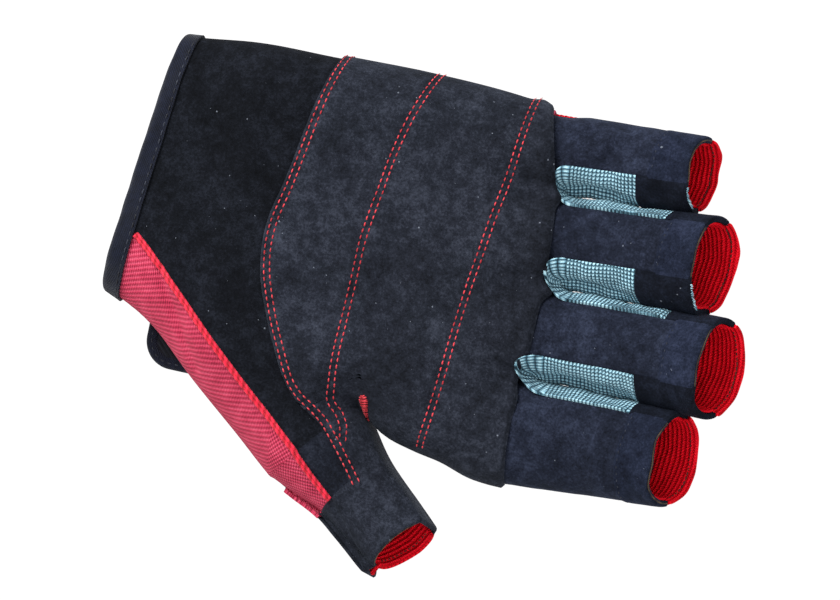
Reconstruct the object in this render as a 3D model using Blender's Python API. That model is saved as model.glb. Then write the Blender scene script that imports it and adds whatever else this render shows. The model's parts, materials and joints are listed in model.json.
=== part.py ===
"""Short-finger sailing glove for the right hand, adult size L.

It lies on its back with the palm up: +X runs to the fingertips, +Y to the little finger,
-Y to the thumb and +Z out of the palm. Sizes are in millimetres until a mesh is made.
"""
import math

import bmesh
import bpy
import numpy as np

MM = 0.001
GAP = 0.3               # air between two sewn layers
OVERLAY_GAP = 0.8       # the same under the palm's second layer, whose facets cross the first's
SUEDE = 1.1             # palm material thickness
KNIT = 1.1              # stretch knit thickness
LABEL = 0.4
TACK_THICKNESS = 0.8
TAPE = 0.65             # folded binding tape, one leg
BINDING_WIDTH = 6.0     # how far the tape covers the fabric
TAPE_GAP = 0.5          # air between the tape and the fabric it is folded over
CENTRE_X = 82.15        # middle of the whole glove, measured from the cuff
CENTRE_Y = -29.45
PIPING_RADIUS = 1.0

# Finishes: base colour and roughness
SUEDE_BLACK = ((0.011, 0.013, 0.018), 0.9)
FINGER_BLACK = ((0.013, 0.016, 0.022), 0.9)
HEM_BLACK = ((0.010, 0.012, 0.018), 0.9)
SUEDE_CHARCOAL = ((0.020, 0.023, 0.029), 0.92)
BACK_RED = ((0.42, 0.020, 0.035), 0.8)
MESH_RED = ((0.40, 0.020, 0.040), 0.75)
RIB_RED = ((0.66, 0.006, 0.012), 0.7)
PIPING_RED = ((0.75, 0.020, 0.035), 0.55)
THREAD_RED = ((0.78, 0.030, 0.050), 0.7)
GUSSET_BLUE = ((0.16, 0.33, 0.42), 0.85)
TAPE_NAVY = ((0.009, 0.013, 0.030), 0.6)
STRAP_BLACK = ((0.012, 0.014, 0.020), 0.85)
HOOK_BLACK = ((0.020, 0.020, 0.022), 0.7)
LOOP_BLACK = ((0.030, 0.030, 0.035), 0.95)
LABEL_WHITE = ((0.75, 0.75, 0.73), 0.6)

# Hand: measured along X from the cuff seam
KNUCKLE_X = 110.0
CUFF_SKEW = 0.112       # the cuff is cut aslant
KNUCKLE_SKEW = -0.07    # the knuckle line runs the other way
SQUARE_X = 50.0         # where the two skews meet
EDGE_RADIUS = 15.0      # width of the rounded sides of the hand
NOTCH_X = 105.0         # the finger crotches are cut in from here
NOTCH_HALF = 3.3
SLIT_X = 34.0           # length of the wrist slit in the back
SLIT_LOW_Y = -6.5
SLIT_HIGH_Y = -3.0
MESH_END_X = 57.0       # where the mesh seam reaches the thumb seam
CUT_END_X = 51.4        # outer end of the thumb seam; its inner end is the crotch
CROTCH = (70.6, -53.0)
CUT_SLOPE = 1.271

# Thumb
THUMB_ANGLE = math.radians(-40.0)
THUMB_BASE = (61.7, -65.3)
THUMB_LENGTH = 38.5
THUMB_LIFT = math.radians(22.0)
THUMB_HEM = 12.0
THUMB_HALF_WIDTH = (15.4, 12.0)
THUMB_HALF_HEIGHT = (12.4, 9.6)
THUMB_MIDDLE_X = 58.0   # the thumb starts at the hand's height here
THUMB_FRONT_ARC = (-6.0, 138.0)
THUMB_HEM_ARC = (-6.0, 205.0)
THUMB_OVERLAY_ARC = (8.0, 92.0)
THUMB_OVERLAY_LENGTH = 15.0

# Fingers: centre line y, end x, half widths and half heights at base and end, curl,
# and the angles round the tube where the front panel starts and ends
FINGER_NAMES = ("little", "ring", "middle", "index")
CENTRE_LINE = {"little": 26.9, "ring": 3.9, "middle": -22.1, "index": -49.7}
TIP_X = {"little": 149.5, "ring": 157.5, "middle": 164.5, "index": 158.5}
HALF_WIDTH = {"little": (10.1, 9.8), "ring": (12.1, 12.2), "middle": (12.6, 12.8), "index": (12.9, 12.8)}
HALF_HEIGHT = {"little": (10.2, 8.2), "ring": (10.9, 9.4), "middle": (11.1, 9.8), "index": (11.0, 9.6)}
CURL_DEG = {"little": 22.0, "ring": 31.0, "middle": 33.0, "index": 33.0}
FRONT_ARC = {"little": (-8.0, 124.0), "ring": (30.0, 124.0), "middle": (30.0, 124.0), "index": (32.0, 186.0)}
BACK_ARC = (198.0, 342.0)
HEM_LENGTH = 10.0
GUSSET_SHARE = 0.68     # share of the finger's length that the knit gusset reaches
STRETCH_BACK = math.tan(math.radians(11.0))   # room at the back for bending it backwards
SEAM_DEG = 2.0
CROTCH_WALL = 1.0       # the bent middle of a gusset
CROTCH_HEIGHTS = (1.4, 21.6)
CROTCH_DEPTH_RATIO = 0.75

# Closure strap on the back of the wrist
STRAP_X = (6.6, 29.6)
STRAP_ROOT_X = (9.4, 27.0)      # the sewn end, clear of the cuff binding and of the rising back
STRAP_HINGE_Y = 14.0
STRAP_END_Y = -55.5
STRAP_THICKNESS = 2.1
STRAP_CORNER = 8.0
STRAP_EDGE = 1.4
STRAP_ROOT = (11.0, 4.1)        # length and height of the sewn end
HOOK_BOX = (10.5, 25.5, -36.0, -14.0)
HOOK_TOP = 2.8
LOOP_THICKNESS = 0.7


def smooth_line(points):
    """A cubic curve through (x, y) points, as a function of x."""
    x = np.array([p[0] for p in points], float)
    y = np.array([p[1] for p in points], float)
    slope = np.gradient(y, x)

    def value(at):
        at = np.asarray(at, float)
        i = np.clip(np.searchsorted(x, at) - 1, 0, len(x) - 2)
        h = x[i + 1] - x[i]
        t = np.clip((at - x[i]) / h, -0.2, 1.2)
        rise = (2 * t**3 - 3 * t**2 + 1) * y[i] + (3 * t**2 - 2 * t**3) * y[i + 1]
        return rise + (t**3 - 2 * t**2 + t) * h * slope[i] + (t**3 - t**2) * h * slope[i + 1]

    return value


little_edge = smooth_line([(-6, 36.0), (0, 36.3), (22, 38.2), (45, 39.5), (73, 39.9), (98, 38.6),
                           (110, 37.2)])
outer_edge = smooth_line([(-6, -34.5), (0, -36.6), (16, -45.0), (25, -53.0), (40, -66.6), (51.4, -77.4),
                          (66, -88.0)])
index_edge = smooth_line([(70.6, -53.0), (79, -58.6), (87, -61.0), (94, -62.4), (102, -65.0), (110, -65.6)])
mesh_seam = smooth_line([(-6, -18.0), (0, -20.8), (10.5, -26.8), (25, -41.9), (46, -65.2), (57, -76.5)])
overlay_edge = smooth_line([(-62, 54.0), (-50, 47.6), (-42, 44.0), (-32, 39.4), (-20, 35.6), (-9, 34.2),
                            (2, 36.8), (20, 41.0), (40, 45.6)])
OVERLAY_LOW_Y = -62.0   # first y of the line above
half_height = smooth_line([(-6, 8.6), (0, 9.0), (20, 11.0), (40, 13.0), (70, 13.4), (95, 12.4), (110, 11.5)])
back_rise = smooth_line([(-6, 4.4), (0, 4.4), (20, 4.4), (29, 4.2), (36, 2.4), (44, 0.4), (50, 0.0),
                         (60, 0.0), (110, 0.0)])


def rest_height(x):
    """Height of the back of the glove: it lies flat, apart from the wrist, where the strap is."""
    return np.maximum(back_rise(x), 0.0)


def thumb_cut(x):
    """The seam where the thumb starts, straight from the crotch to the outer edge."""
    return CROTCH[1] + (x - CROTCH[0]) * CUT_SLOPE


def back_low_edge(x):
    """Lower outline of the hand: outer edge, thumb seam, then index finger's edge."""
    x = np.asarray(x, float)
    return np.where(x < CUT_END_X, outer_edge(x), np.where(x < CROTCH[0], thumb_cut(x), index_edge(x)))


def palm_low_edge(x):
    """Lower limit of the palm panel: the mesh seam, the thumb seam, then the index edge."""
    x = np.asarray(x, float)
    return np.maximum(np.where(x < MESH_END_X, mesh_seam(x) + 0.5 * GAP, -np.inf), back_low_edge(x))


def side_lines():
    """The silhouette's side edges as polylines, with the thumb's two sides."""
    x = np.linspace(-6, 110, 59)
    x_out = np.linspace(-6, CUT_END_X, 30)
    x_in = np.linspace(CROTCH[0], 110, 20)
    reach = 50.0
    top = np.stack([x, little_edge(x)], 1)
    along = np.array([math.cos(THUMB_ANGLE), math.sin(THUMB_ANGLE)])
    outer = np.stack([x_out, outer_edge(x_out)], 1)
    outer = np.vstack([outer, outer[-1] + reach * along])
    crotch = np.array(CROTCH)
    inner = np.vstack([crotch + reach * along, crotch, np.stack([x_in, index_edge(x_in)], 1)[1:]])
    return [top, outer, inner]


HAND_MIDDLE = np.array([60.0, 0.0])
SIDES = side_lines()
SIDE_SHARES = np.array([0, 0.1, 0.3, 0.6, 1])
PALM_ROWS = np.array([0, BINDING_WIDTH, 15, 24, 32, 40, 47, 54.6, 58.5, 62.5, 66.5, CROTCH[0], 74.5, 79,
                      88, 97, NOTCH_X, KNUCKLE_X])
ON_LINE = 0.05          # nearer to an edge than this, a point counts as on it


def edge_distance(x, y):
    """Distance in plan to the nearest side of the silhouette, and the direction away from it."""
    point = np.stack([x, y], -1)
    best = np.full(x.shape, 1e9)
    away = np.zeros(point.shape)
    for line in SIDES:
        for a, b in zip(line[:-1], line[1:]):
            ab = b - a
            t = np.clip(((point - a) @ ab) / (ab @ ab), 0, 1)
            gap = point - a - t[..., None] * ab
            distance = np.linalg.norm(gap, axis=-1)
            normal = np.array([-ab[1], ab[0]]) / np.linalg.norm(ab)
            normal *= np.sign(normal @ (HAND_MIDDLE - a))
            near = distance < best
            on_line = (distance < ON_LINE)[..., None]
            direction = np.where(on_line, normal, gap / np.maximum(distance, 1e-6)[..., None])
            best = np.where(near, distance, best)
            away = np.where(near[..., None], direction, away)
    return best, away


def skew(x):
    return np.where(x < SQUARE_X, CUFF_SKEW * (1 - x / SQUARE_X),
                    KNUCKLE_SKEW * (x - SQUARE_X) / (KNUCKLE_X - SQUARE_X))


def hand_surface(x, y, side, offset):
    """Points of the hand's shell. side is 1 for the palm and -1 for the back.

    The shell is a slab whose sides are rounded over EDGE_RADIUS; offset moves a point
    out along the surface's normal, or in where it is negative.
    """
    x, y = np.broadcast_arrays(np.asarray(x, float), np.asarray(y, float))
    distance, away = edge_distance(x, y)
    lean = 1 - np.clip(distance / EDGE_RADIUS, 0, 1)
    upright = np.sqrt(np.clip(1 - lean**2, 0, 1))
    height = half_height(x)
    out_x = x - away[..., 0] * lean * offset
    out_y = y - away[..., 1] * lean * offset
    middle = rest_height(x) + height
    out_z = middle + side * (0.5 * GAP + (height - 0.5 * GAP) * upright + offset * upright)
    return np.stack([out_x + skew(x) * y, out_y, out_z], -1)


def material(name, colour, roughness):
    made = bpy.data.materials.new(name)
    made.use_nodes = True
    shader = made.node_tree.nodes["Principled BSDF"]
    shader.inputs["Base Color"].default_value = (*colour, 1.0)
    shader.inputs["Roughness"].default_value = roughness
    shader.inputs["Metallic"].default_value = 0.0
    return made


def add_object(name, vertices, faces, colour, roughness):
    """One closed solid from points in millimetres, facing outwards."""
    mesh = bpy.data.meshes.new(name)
    shift = np.array([CENTRE_X, CENTRE_Y, 0.0])
    mesh.from_pydata(((np.asarray(vertices) - shift) * MM).tolist(), [], faces)
    shape = bmesh.new()
    shape.from_mesh(mesh)
    bmesh.ops.remove_doubles(shape, verts=shape.verts, dist=1e-6)
    loose = [v for v in shape.verts if not v.link_faces]
    bmesh.ops.delete(shape, geom=loose, context="VERTS")
    bmesh.ops.recalc_face_normals(shape, faces=shape.faces)
    shape.to_mesh(mesh)
    shape.free()
    mesh.shade_smooth()
    mesh.set_sharp_from_angle(angle=math.radians(40))
    made = bpy.data.objects.new(name, mesh)
    bpy.context.scene.collection.objects.link(made)
    mesh.materials.append(material(name, colour, roughness))
    return made


def add_sheet(name, outer, inner, colour, roughness, keep=None):
    """Fabric between an outer and an inner grid of points; keep leaves out cells."""
    rows, columns = outer.shape[:2]
    if keep is None:
        keep = np.ones((rows - 1, columns - 1), bool)
    count = rows * columns
    faces = []

    def kept(i, j):
        return 0 <= i < rows - 1 and 0 <= j < columns - 1 and keep[i, j]

    for i in range(rows - 1):
        for j in range(columns - 1):
            if not keep[i, j]:
                continue
            a, b = i * columns + j, i * columns + j + 1
            c, d = b + columns, a + columns
            faces.append((a, b, c, d))
            faces.append((count + d, count + c, count + b, count + a))
            around = (((i - 1, j), (b, a)), ((i, j + 1), (c, b)), ((i + 1, j), (d, c)), ((i, j - 1), (a, d)))
            for near, (p, q) in around:
                if not kept(*near):
                    faces.append((p, q, count + q, count + p))
    vertices = np.vstack([outer.reshape(-1, 3), inner.reshape(-1, 3)])
    return add_object(name, vertices, faces, colour, roughness)


def add_sweep(name, rings, colour, roughness):
    """A profile carried along a path: rings holds one closed profile per station."""
    stations, points = rings.shape[:2]
    faces = [tuple(range(points)), tuple(range((stations - 1) * points, stations * points))[::-1]]
    for i in range(stations - 1):
        for j in range(points):
            a, b = i * points + j, i * points + (j + 1) % points
            faces.append((a, b, b + points, a + points))
    return add_object(name, rings.reshape(-1, 3), faces, colour, roughness)


def hand_sheet(name, x, y, side, outside, inside, colour, roughness, keep=None):
    return add_sheet(name, hand_surface(x, y, side, outside), hand_surface(x, y, side, inside),
                     colour, roughness, keep)


def across_shares():
    """Shares of the way from the lower outline to the little finger's edge.

    Six of them are the sides of the three finger notches at the knuckle line.
    """
    low, high = float(index_edge(KNUCKLE_X)), float(little_edge(KNUCKLE_X))
    notches = [y + s * NOTCH_HALF for y in gusset_lines() for s in (-1, 1)]
    shares = [(y - low) / (high - low) for y in notches]
    between = [0, 0.012, 0.045, 0.085, 0.13, 0.185, 0.395, 0.455, 0.65, 0.71, 0.9, 0.955, 0.988, 1]
    return np.sort(np.array(shares + between))


def gusset_lines():
    """Y of the three finger crotches, midway between neighbouring fingers."""
    lines = []
    for a, b in zip(FINGER_NAMES[:-1], FINGER_NAMES[1:]):
        upper = CENTRE_LINE[a] - HALF_WIDTH[a][0]
        lower = CENTRE_LINE[b] + HALF_WIDTH[b][0]
        lines.append(0.5 * (upper + lower))
    return lines


def blend(low_line, high_line, share, x):
    """Y at a share of the way between two lines."""
    return low_line(x) + (high_line(x) - low_line(x)) * share


def slit_column(shares):
    """Which step across the back is the wrist slit."""
    low, high = float(back_low_edge(0)), float(little_edge(0))
    return int(np.argmin(abs(low + (high - low) * shares - SLIT_LOW_Y)))


def outside_notches(x, y):
    """True for the cells that stay when the finger notches are cut."""
    middle_x = 0.5 * (x[:-1, :-1] + x[1:, 1:])
    middle_y = 0.25 * (y[:-1, :-1] + y[1:, 1:] + y[:-1, 1:] + y[1:, :-1])
    keep = np.ones(middle_x.shape, bool)
    for line in gusset_lines():
        keep &= ~((middle_x > NOTCH_X) & (abs(middle_y - line) < NOTCH_HALF))
    return keep


def make_palm_panel():
    """Suede-finish palm, from the cuff to the knuckle line."""
    share = across_shares()
    x = np.repeat(PALM_ROWS[:, None], len(share), 1)
    y = blend(palm_low_edge, little_edge, share, x)
    hand_sheet("palm_panel", x, y, 1, 0, -SUEDE, *SUEDE_BLACK, outside_notches(x, y))


def make_palm_reinforcement():
    """Second layer on the gripping area, from its curved edge to the knuckle line."""
    share = across_shares()[2:-1]
    start = np.full(len(share), SQUARE_X)
    for _ in range(30):
        y = blend(palm_low_edge, little_edge, share, start)
        start = 0.5 * start + 0.5 * overlay_edge(np.maximum(y, OVERLAY_LOW_Y))
    x = np.maximum(PALM_ROWS[4:, None], start)
    y = blend(palm_low_edge, little_edge, share, x)
    hand_sheet("palm_reinforcement", x, y, 1, OVERLAY_GAP + SUEDE, OVERLAY_GAP, *SUEDE_CHARCOAL,
               outside_notches(x, y))


def make_back_panel():
    """Stretch back of the hand, with the wrist slit and the finger notches."""
    slit_rows = [0, BINDING_WIDTH, 15, 24, SLIT_X]
    rows = np.array(slit_rows + [40, 46, CUT_END_X, 61, CROTCH[0], 82, 94, NOTCH_X, KNUCKLE_X])
    share = across_shares()
    x = np.repeat(rows[:, None], len(share), 1)
    y = blend(back_low_edge, little_edge, share, x)
    column = slit_column(share)
    for row in range(len(slit_rows)):
        y[row, column] = SLIT_LOW_Y
        y[row, column + 1] = SLIT_HIGH_Y
    keep = outside_notches(x, y)
    keep[:len(slit_rows) - 1, column] = False
    hand_sheet("back_panel", x, y, -1, 0, -KNIT, *BACK_RED, keep)


def make_side_mesh():
    """Mesh strip that wraps from the back to the palm along the thumb's side."""
    rows = np.array([0, BINDING_WIDTH, 15, 24, 32, 40, 46, 50.5])
    x = np.repeat(rows[:, None], len(SIDE_SHARES), 1)
    y = outer_edge(x) + (mesh_seam(x) - 0.5 * GAP - outer_edge(x)) * SIDE_SHARES
    hand_sheet("side_mesh_panel", x, y, 1, 0, -KNIT, *MESH_RED)


def make_side_piping():
    """Raised cord over the seam between the palm panel and the side mesh."""
    clear = 4 * GAP
    x = np.linspace(BINDING_WIDTH + clear, SQUARE_X, 14)
    angle = np.radians(np.arange(0, 360, 60))
    across = mesh_seam(x)[:, None] + PIPING_RADIUS * np.cos(angle)
    lift = GAP + PIPING_RADIUS * (1 + np.sin(angle))
    rings = hand_surface(np.repeat(x[:, None], len(angle), 1), across, 1, lift[None, :])
    add_sweep("side_piping", rings, *PIPING_RED)


def make_cuff_binding():
    """Tape folded over the cuff edge, from one side of the wrist slit to the other."""
    top, bottom = TAPE_GAP, -SUEDE - TAPE_GAP
    outline = [(BINDING_WIDTH, top), (BINDING_WIDTH, top + TAPE), (-GAP - TAPE, top + TAPE),
               (-GAP - TAPE, bottom - TAPE), (BINDING_WIDTH, bottom - TAPE), (BINDING_WIDTH, bottom),
               (-GAP, bottom), (-GAP, top)]
    x = np.array([p[0] for p in outline])
    lift = np.array([p[1] for p in outline])
    palm, side, back = across_shares(), SIDE_SHARES, across_shares()
    slit = slit_column(back)
    lines = [(SLIT_HIGH_Y + 0 * x, -1)]
    lines += [(blend(back_low_edge, little_edge, share, x), -1) for share in back[slit + 2:]]
    lines += [(blend(palm_low_edge, little_edge, share, x), 1) for share in palm[::-1]]
    lines += [(blend(outer_edge, mesh_seam, share, x), 1) for share in side[::-1]]
    lines += [(blend(back_low_edge, little_edge, share, x), -1) for share in back[:slit]]
    lines += [(SLIT_LOW_Y + 0 * x, -1)]
    rings = [hand_surface(x, y, side_sign, lift) for y, side_sign in lines]
    add_sweep("cuff_binding", np.array(rings), *TAPE_NAVY)


def make_finger_crotches():
    """The bent middle of each knit gusset, standing in its notch between two fingers."""
    radius = NOTCH_HALF - 1.7 * GAP
    straight = 1.6
    names = ("little_ring", "ring_middle", "middle_index")
    for name, line in zip(names, gusset_lines()):
        mouth = KNUCKLE_X + KNUCKLE_SKEW * line - 2 * GAP
        angle = np.radians(np.linspace(90, 270, 7))
        deep = CROTCH_DEPTH_RATIO * np.cos(angle)
        plan = [np.stack([mouth - straight + r * deep, line + r * np.sin(angle)], 1)
                for r in (radius, radius - CROTCH_WALL)]
        plan = [np.vstack([[mouth, p[0, 1]], p, [mouth, p[-1, 1]]]) for p in plan]
        outer = np.stack([np.column_stack([plan[0], np.full(len(plan[0]), z)]) for z in CROTCH_HEIGHTS])
        inner = np.stack([np.column_stack([plan[1], np.full(len(plan[1]), z)]) for z in CROTCH_HEIGHTS])
        add_sheet("gusset_crotch_" + name, outer, inner, *GUSSET_BLUE)


class Tube:
    """A finger or the thumb: an oval tube on an arc that lifts away from the back."""

    def __init__(self, base, angle, plan_length, lift, half_width, half_height_pair, middle_z):
        self.base = np.array([base[0], base[1], middle_z])
        self.ahead = np.array([math.cos(angle), math.sin(angle), 0.0])
        self.aside = np.array([-math.sin(angle), math.cos(angle), 0.0])
        self.lift = lift
        self.length = plan_length * lift / math.sin(lift)
        self.radius = self.length / lift
        self.half_width = half_width
        self.half_height = half_height_pair

    def point(self, s, t, offset):
        """Point at length s and angle t in degrees: 0 is aside, 90 is the palm side."""
        s, t, offset = np.broadcast_arrays(np.asarray(s, float), np.radians(t), offset)
        turn = s / self.radius
        share = s / self.length
        wide = self.half_width[0] + (self.half_width[1] - self.half_width[0]) * share + offset
        high = self.half_height[0] + (self.half_height[1] - self.half_height[0]) * share + offset
        up = np.array([0.0, 0.0, 1.0])
        forward = self.radius * np.sin(turn) - np.sin(turn) * high * np.sin(t)
        rise = self.radius * (1 - np.cos(turn)) + np.cos(turn) * high * np.sin(t)
        return (self.base + forward[..., None] * self.ahead + rise[..., None] * up
                + (wide * np.cos(t))[..., None] * self.aside)

    def start(self, t):
        """Where a panel begins at angle t: a wedge leaves room at the back."""
        return GAP + self.half_height[0] * (1 - np.sin(np.radians(t))) * STRETCH_BACK

    def strip(self, name, arc, span, offset, thickness, finish, rows=6):
        """Fabric over an arc of the tube, between two lengths; None starts at the base."""
        t = np.linspace(arc[0], arc[1], max(3, int(abs(arc[1] - arc[0]) / 17) + 2))
        first = self.start(t) if span[0] is None else np.full(len(t), span[0])
        s = first + np.linspace(0, 1, rows)[:, None] * (span[1] - first)
        t = np.repeat(t[None, :], rows, 0)
        add_sheet(name, self.point(s, t, offset), self.point(s, t, offset - thickness), *finish)


def finger_tube(name):
    line = CENTRE_LINE[name]
    hinge_x = KNUCKLE_X + KNUCKLE_SKEW * (line - HALF_WIDTH[name][0]) + GAP
    middle = float(half_height(KNUCKLE_X))
    return Tube((hinge_x, line), 0.0, TIP_X[name] - hinge_x, math.radians(CURL_DEG[name]),
                HALF_WIDTH[name], HALF_HEIGHT[name], middle)


def make_finger(name):
    """Front, end hem, ribbed back and the gusset and tab on each side with a neighbour."""
    tube = finger_tube(name)
    arc = FRONT_ARC[name]
    hem_start = tube.length - HEM_LENGTH
    tube.strip(name + "_front", arc, (None, hem_start - GAP), 0.0, SUEDE, FINGER_BLACK)
    tube.strip(name + "_hem", arc, (hem_start, tube.length), 0.0, SUEDE, HEM_BLACK, rows=3)
    first = BACK_ARC[1] - 360 if name != "little" else arc[0] - SEAM_DEG
    last = BACK_ARC[0] if name != "index" else arc[1] + SEAM_DEG
    tube.strip(name + "_back", (last, first + 360), (None, tube.length), 0.0, KNIT, RIB_RED)
    gusset_end = tube.length * GUSSET_SHARE
    sides = []
    if name != "index":
        sides.append(("inner", (arc[1] + SEAM_DEG, BACK_ARC[0] - SEAM_DEG)))
    if name != "little":
        sides.append(("outer", (BACK_ARC[1] - 360 + SEAM_DEG, arc[0] - SEAM_DEG)))
    for word, side_arc in sides:
        leg = (None, gusset_end - GAP)
        tube.strip(f"{name}_gusset_{word}", side_arc, leg, 0.0, KNIT, GUSSET_BLUE, rows=5)
        tube.strip(f"{name}_tab_{word}", side_arc, (gusset_end, tube.length), 0.0, SUEDE, HEM_BLACK, rows=3)


def make_thumb():
    """Front, end hem, mesh back, the end of the reinforcement and of the piping."""
    tube = Tube(THUMB_BASE, THUMB_ANGLE, THUMB_LENGTH, THUMB_LIFT, THUMB_HALF_WIDTH, THUMB_HALF_HEIGHT,
                float(half_height(THUMB_MIDDLE_X)))
    hem_start = tube.length - THUMB_HEM
    tube.strip("thumb_front", THUMB_FRONT_ARC, (None, hem_start - GAP), 0.0, SUEDE, SUEDE_BLACK)
    tube.strip("thumb_hem", THUMB_HEM_ARC, (hem_start, tube.length), 0.0, SUEDE, HEM_BLACK, rows=3)
    hem_side = THUMB_HEM_ARC[1] + SEAM_DEG
    span = (THUMB_FRONT_ARC[1] + SEAM_DEG, 360 + THUMB_FRONT_ARC[0] - SEAM_DEG)
    t = np.concatenate([np.linspace(span[0], hem_side, 5), np.linspace(hem_side, span[1], 9)[1:]])
    first = tube.start(t)
    share = np.array([0, 0.25, 0.5, 0.75, 1.0])
    s = np.vstack([first + share[:, None] * (hem_start - GAP - first), np.full(len(t), tube.length)])
    t = np.repeat(t[None, :], len(s), 0)
    middle_t = 0.5 * (t[:-1, :-1] + t[1:, 1:])
    middle_s = 0.5 * (s[:-1, :-1] + s[1:, 1:])
    keep = ~((middle_s > hem_start) & (middle_t < hem_side))
    add_sheet("thumb_back", tube.point(s, t, 0.0), tube.point(s, t, -KNIT), *MESH_RED, keep)
    tube.strip("thumb_reinforcement", THUMB_OVERLAY_ARC, (None, THUMB_OVERLAY_LENGTH), GAP + SUEDE, SUEDE,
               SUEDE_CHARCOAL, rows=4)
    angle = np.radians(np.arange(0, 360, 60))
    along = np.linspace(3.0, hem_start - 1.0, 6)
    seam_t = THUMB_FRONT_ARC[1] + 0.5 * SEAM_DEG
    reach = math.degrees(PIPING_RADIUS / THUMB_HALF_HEIGHT[0])
    lift = GAP + PIPING_RADIUS * (1 + np.sin(angle))
    rings = tube.point(along[:, None], seam_t + reach * np.cos(angle), lift)
    add_sweep("thumb_piping", rings, *PIPING_RED)


def strap_outline(grow):
    """Plan of the strap: square at the sewn end, rounded at the free end."""
    x0, x1 = STRAP_X[0] - grow, STRAP_X[1] + grow
    end, root, r = STRAP_END_Y - grow, STRAP_HINGE_Y - GAP, STRAP_CORNER + grow
    points = [(x1, root)]
    for centre, start in (((x1 - r, end + r), 0), ((x0 + r, end + r), -90)):
        for step in range(5):
            a = math.radians(start - 22.5 * step)
            points.append((centre[0] + r * math.cos(a), centre[1] + r * math.sin(a)))
    points.append((x0, root))
    return np.array(points)


def add_plate(name, outline, low, high, colour, roughness):
    """A flat outline with thickness."""
    count = len(outline)
    vertices = np.vstack([np.column_stack([outline, np.full(count, z)]) for z in (low, high)])
    faces = [tuple(range(count)), tuple(range(count, 2 * count))]
    faces += [(i, (i + 1) % count, count + (i + 1) % count, count + i) for i in range(count)]
    return add_object(name, vertices, faces, colour, roughness)


def box_outline(x0, x1, y0, y1):
    return np.array([(x0, y0), (x1, y0), (x1, y1), (x0, y1)])


def make_closure():
    """Hook-and-loop strap over the wrist slit: sewn root, strap, binding and patches."""
    root = box_outline(*STRAP_ROOT_X, STRAP_HINGE_Y + GAP, STRAP_HINGE_Y + STRAP_ROOT[0])
    add_plate("strap_root", root, 0.0, STRAP_ROOT[1], *STRAP_BLACK)
    add_plate("closure_strap", strap_outline(-STRAP_EDGE - GAP), GAP, STRAP_THICKNESS - GAP, *STRAP_BLACK)
    outer, inner = strap_outline(0.0), strap_outline(-STRAP_EDGE)
    rings = np.stack([np.column_stack([outer, np.full(len(outer), 0.0)]),
                      np.column_stack([outer, np.full(len(outer), STRAP_THICKNESS)]),
                      np.column_stack([inner, np.full(len(inner), STRAP_THICKNESS)]),
                      np.column_stack([inner, np.full(len(inner), 0.0)])], 1)
    add_sweep("strap_binding", rings, *TAPE_NAVY)
    add_plate("hook_patch", box_outline(*HOOK_BOX), STRAP_THICKNESS, HOOK_TOP, *HOOK_BLACK)
    x = np.array([10.0, 15, 21, 26])
    y = np.array([-34.0, -27, -20, -12])
    x, y = np.meshgrid(x, y, indexing="ij")
    hand_sheet("loop_patch", x, y, -1, GAP + LOOP_THICKNESS, GAP, *LOOP_BLACK)


def make_small_trim():
    """Blank label inside the cuff and the red bar tack in the thumb's crotch."""
    x, y = np.meshgrid(np.array([8.0, 13, 18]), np.array([8.0, 14, 20, 27]), indexing="ij")
    inside = -KNIT - GAP
    hand_sheet("care_label", x, y, -1, inside, inside - LABEL, *LABEL_WHITE)
    y = np.array([-50.6, -49.0, -47.4, -45.6])
    half = np.array([0.35, 0.9, 1.5, 1.1])
    x = CROTCH[0] - 1.4 + half[:, None] * np.array([-1.0, 0, 1])
    over = OVERLAY_GAP + SUEDE + 3 * GAP
    y = np.repeat(y[:, None], 3, 1)
    hand_sheet("thumb_crotch_tack", x, y, 1, over + TACK_THICKNESS, over, *THREAD_RED)


def build():
    for found in list(bpy.data.objects):
        bpy.data.objects.remove(found, do_unlink=True)
    make_palm_panel()
    make_palm_reinforcement()
    make_back_panel()
    make_side_mesh()
    make_side_piping()
    make_cuff_binding()
    make_finger_crotches()
    for name in FINGER_NAMES:
        make_finger(name)
    make_thumb()
    make_closure()
    make_small_trim()


build()
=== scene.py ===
import json
import math
import bpy
import mathutils
import numpy as np
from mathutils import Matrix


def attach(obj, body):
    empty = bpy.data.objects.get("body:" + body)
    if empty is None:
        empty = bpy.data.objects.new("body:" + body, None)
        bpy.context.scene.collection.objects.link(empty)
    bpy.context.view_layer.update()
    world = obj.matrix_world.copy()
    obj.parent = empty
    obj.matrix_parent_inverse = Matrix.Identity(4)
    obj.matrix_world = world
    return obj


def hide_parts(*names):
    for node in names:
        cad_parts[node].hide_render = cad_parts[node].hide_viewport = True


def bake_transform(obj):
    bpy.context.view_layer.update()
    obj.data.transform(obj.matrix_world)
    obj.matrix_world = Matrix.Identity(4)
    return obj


# Short-finger sailing glove, right hand, lying on its back with the palm up.
# Lengths are in millimetres from the middle of the cuff until a mesh is made:
# x runs to the fingertips, y to the little finger, z out of the palm.
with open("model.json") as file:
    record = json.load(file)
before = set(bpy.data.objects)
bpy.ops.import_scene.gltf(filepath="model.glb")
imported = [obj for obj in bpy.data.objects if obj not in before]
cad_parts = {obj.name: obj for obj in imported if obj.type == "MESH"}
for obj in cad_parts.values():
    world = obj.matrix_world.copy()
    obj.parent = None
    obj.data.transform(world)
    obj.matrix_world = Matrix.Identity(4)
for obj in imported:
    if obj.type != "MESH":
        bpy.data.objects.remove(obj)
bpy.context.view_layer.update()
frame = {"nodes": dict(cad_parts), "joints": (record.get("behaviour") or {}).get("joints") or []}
jointAt = {j["name"]: np.array(j["pos_m"]) * 1000 for j in frame["joints"]}
gloveShift = np.array([82.15, -29.45, 0.0])
tau = 2 * math.pi


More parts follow.
